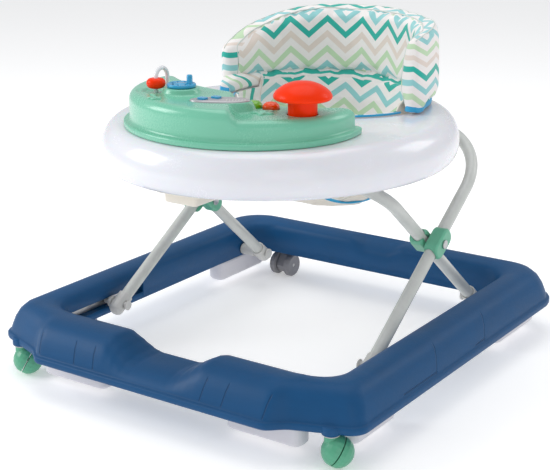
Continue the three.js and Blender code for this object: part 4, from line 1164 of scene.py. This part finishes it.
# Half-width across, half-width along, centre along and height of each cut level.
SLING = [(150, 121, 116, 388), (149, 120, 116, 372), (145, 116, 116, 335), (132, 105, 116, 290),
         (108, 86, 114, 252), (78, 60, 112, 231), (40, 30, 112, 222.5)]


def sling_level(z):
    """The sling's half-widths and centre at a height, eased between its cut levels."""
    for a, b in zip(SLING, SLING[1:]):
        if z >= b[3] or b is SLING[-1]:
            t = min(1, max(0, (a[3] - z) / (a[3] - b[3])))
            return [a[i] + (b[i] - a[i]) * t for i in range(3)]


def bucket(name, inset, low, high, steps, mats):
    """One skin of the sling, rounded into its bottom and softly rumpled."""
    rings = []
    levels = 84
    for i in range(levels + 1):
        t = (i / levels) ** 1.7
        z = high - (high - low) * t
        rx, ry, cy = sling_level(z)
        ring = []
        for j in range(steps):
            a = TAU * j / steps
            slack = smoothstep((376 - z) / 50)
            waves = 1.6 * sin(7 * a + z / 23) + 1.1 * sin(12 * a - z / 17) + 0.8 * sin(19 * a + z / 9)
            d = inset - slack * waves * 0.8 + 1.2 * slack
            x, y = (rx - d) * cos(a), cy + (ry - d) * sin(a)
            turn = atan2(x, y - SEAT_Y)
            behind = smoothstep((93 - degrees(turn)) / 4) * smoothstep((degrees(turn) + 77) / 4)
            flare = smoothstep((z - 368) / 24) * smoothstep((107 - abs(degrees(turn))) / 5)
            rise = behind * smoothstep((z - 372) / (high - 372)) * (crease_z(turn) - 390)
            roll = 6.5 * smoothstep((z + rise - crease_z(turn) + 9) / 9) ** 2 * behind
            groove = 2.6 * exp(-((z + rise - fold_z(turn)) / 1.7) ** 2) * behind
            out = (145.5 + roll + groove - inset) / hypot(x, y - SEAT_Y)
            spread = 1 + (out - 1) * flare
            ring.append((x * spread, SEAT_Y + (y - SEAT_Y) * spread, z + rise))
        rings.append(ring)
    return loft(name, rings, mats)


def leg_outline(side, grow=0.0):
    """The edge of a leg opening in the sling's front, as (x, z)."""
    middle, radius, low, high = side * 78, 40 + grow, 278, 372
    arc = [polar((middle, low), radius, pi * (1 + i / 56)) for i in range(57)]
    up = [(middle + radius, low + (high - low) * i / 16) for i in range(1, 16)]
    over = [(middle + radius * cos(pi * i / 12), high + 3 * sin(pi * i / 12)) for i in range(13)]
    down = [(middle - radius, high - (high - low) * i / 16) for i in range(1, 16)]
    return arc + up + over + down


def make_sling():
    shell = bucket("seat_sling_cloth", 0.5, 222.6, 390, 120, ["beige", "chevron_low"])
    room = bucket("sling_room", 3.6, 226.6, 396, 120, "beige")
    for side in (-1, 1):
        rings = [[(x, y, z) for x, z in leg_outline(side)] for y in (-70, 60)]
        cut_with(shell, [loft("leg_room", rings, "beige")])
    cut_with(shell, [room])

    def strip(co):
        if seat_angle(co) < radians(-BAND_CUT):
            return end_print(co)
        return PEAK, 377 + co[2] - crease_z(seat_angle(co)) + 3

    def seam(co):
        a = seat_angle(co)
        if a < radians(0.1 - BAND_CUT):
            return min(past_cut(co), co[2] - 350), 0
        return co[2] - fold_z(a), 0

    lay_uv(shell, "cut", round_seat)
    lay_uv(shell, "gusset", strip)
    lay_uv(shell, "panel", seam)
    for p in shell.data.polygons:
        rx, ry, cy = sling_level(p.center.z / MM)
        way = Vector((p.center.x / MM / rx ** 2, (p.center.y / MM - cy) / ry ** 2, 0))
        inward = p.normal.dot(way) < 0 if abs(p.normal.z) < 0.8 else p.normal.z > 0
        p.material_index = 1 if inward else 0
    onto(shell, "tray", "seat_sling", "seat_sling_wall", slot="plain_fabric")
    for name, side in LR:
        path = []
        for x, z in leg_outline(side, -1.0):
            rx, ry, cy = sling_level(z)
            share = min(0.985, abs(x) / rx)
            path.append((copysign(share * rx, x), cy - ry * sqrt(1 - share ** 2) + 1.5, z))
        for _ in range(2):
            n = len(path)
            path = [tuple((path[i - 1][k] + 2 * path[i][k] + path[(i + 1) % n][k]) / 4 for k in range(3))
                    for i in range(n)]
        hem = tube("leg_binding_" + name, path, 4.6, "binding", 12, endless=True, flat=0.42, up=(0, -1, 0.2))
        lay_uv(hem, "cut", round_seat)
        onto(hem, "tray", slot="plain_fabric")


# ---- studio

FLOOR_HALF = 8.0
CAMERA_PLACE = (1.11203, -1.65972, 0.80865)
CAMERA_TILT, CAMERA_TURN = radians(90 - 16.92), radians(34.29)
CAMERA_LENS, CAMERA_SHIFT = 87.65, (0.0024, -0.0098)


def make_studio():
    scene = bpy.context.scene
    s = Shader("studio_floor", Roughness=0.9)
    tone = s.noise(0.8, 2.0)
    s.bsdf.inputs["Emission Color"].default_value = (1, 1, 1, 1)
    s.bsdf.inputs["Emission Strength"].default_value = 0.30
    floor_mat = s.done(s.mix(tone, (0.90, 0.90, 0.90, 1), (0.93, 0.93, 0.93, 1)))
    mesh = bpy.data.meshes.new("floor")
    corners = [(FLOOR_HALF * x, FLOOR_HALF * y, 0) for x, y in ((-1, -1), (1, -1), (1, 1), (-1, 1))]
    mesh.from_pydata(corners, [], [(0, 1, 2, 3)])
    mesh.materials.append(floor_mat)
    link("floor", mesh)

    world = scene.world or bpy.data.worlds.new("studio")
    scene.world = world
    world.use_nodes = True
    back = world.node_tree.nodes["Background"]
    back.inputs["Color"].default_value = (0.97, 0.98, 1.0, 1)
    back.inputs["Strength"].default_value = 0.56

    def lamp(name, place, aim, size, power):
        data = bpy.data.lights.new(name, "AREA")
        data.shape, data.size, data.energy = "SQUARE", size, power
        made = link(name, data)
        made.location = place
        made.rotation_euler = (Vector(aim) - Vector(place)).to_track_quat("-Z", "Y").to_euler()

    lamp("key", (-2.3, -1.5, 1.5), (-0.1, -0.1, 0.2), 1.4, 34)
    lamp("top", (-0.3, 0.4, 2.8), (0, 0, 0.3), 2.2, 22)
    lamp("fill", (2.2, -2.0, 1.2), (0, 0, 0.2), 1.6, 7)
    lamp("rim", (1.6, 2.2, 1.8), (0, 0, 0.3), 1.2, 10)

    data = bpy.data.cameras.new("camera")
    data.lens, data.sensor_width, data.sensor_fit = CAMERA_LENS, 36.0, "HORIZONTAL"
    data.shift_x, data.shift_y = CAMERA_SHIFT
    data.clip_start, data.clip_end = 0.05, 40
    camera = link("camera", data)
    camera.location = CAMERA_PLACE
    camera.rotation_euler = (CAMERA_TILT, 0, CAMERA_TURN)
    scene.camera = camera
    scene.view_settings.view_transform = "Standard"


make_base()
make_tray()
make_toy_tray()
make_toys()
make_frame()
make_band(make_back_pad())
make_sling()
make_studio()
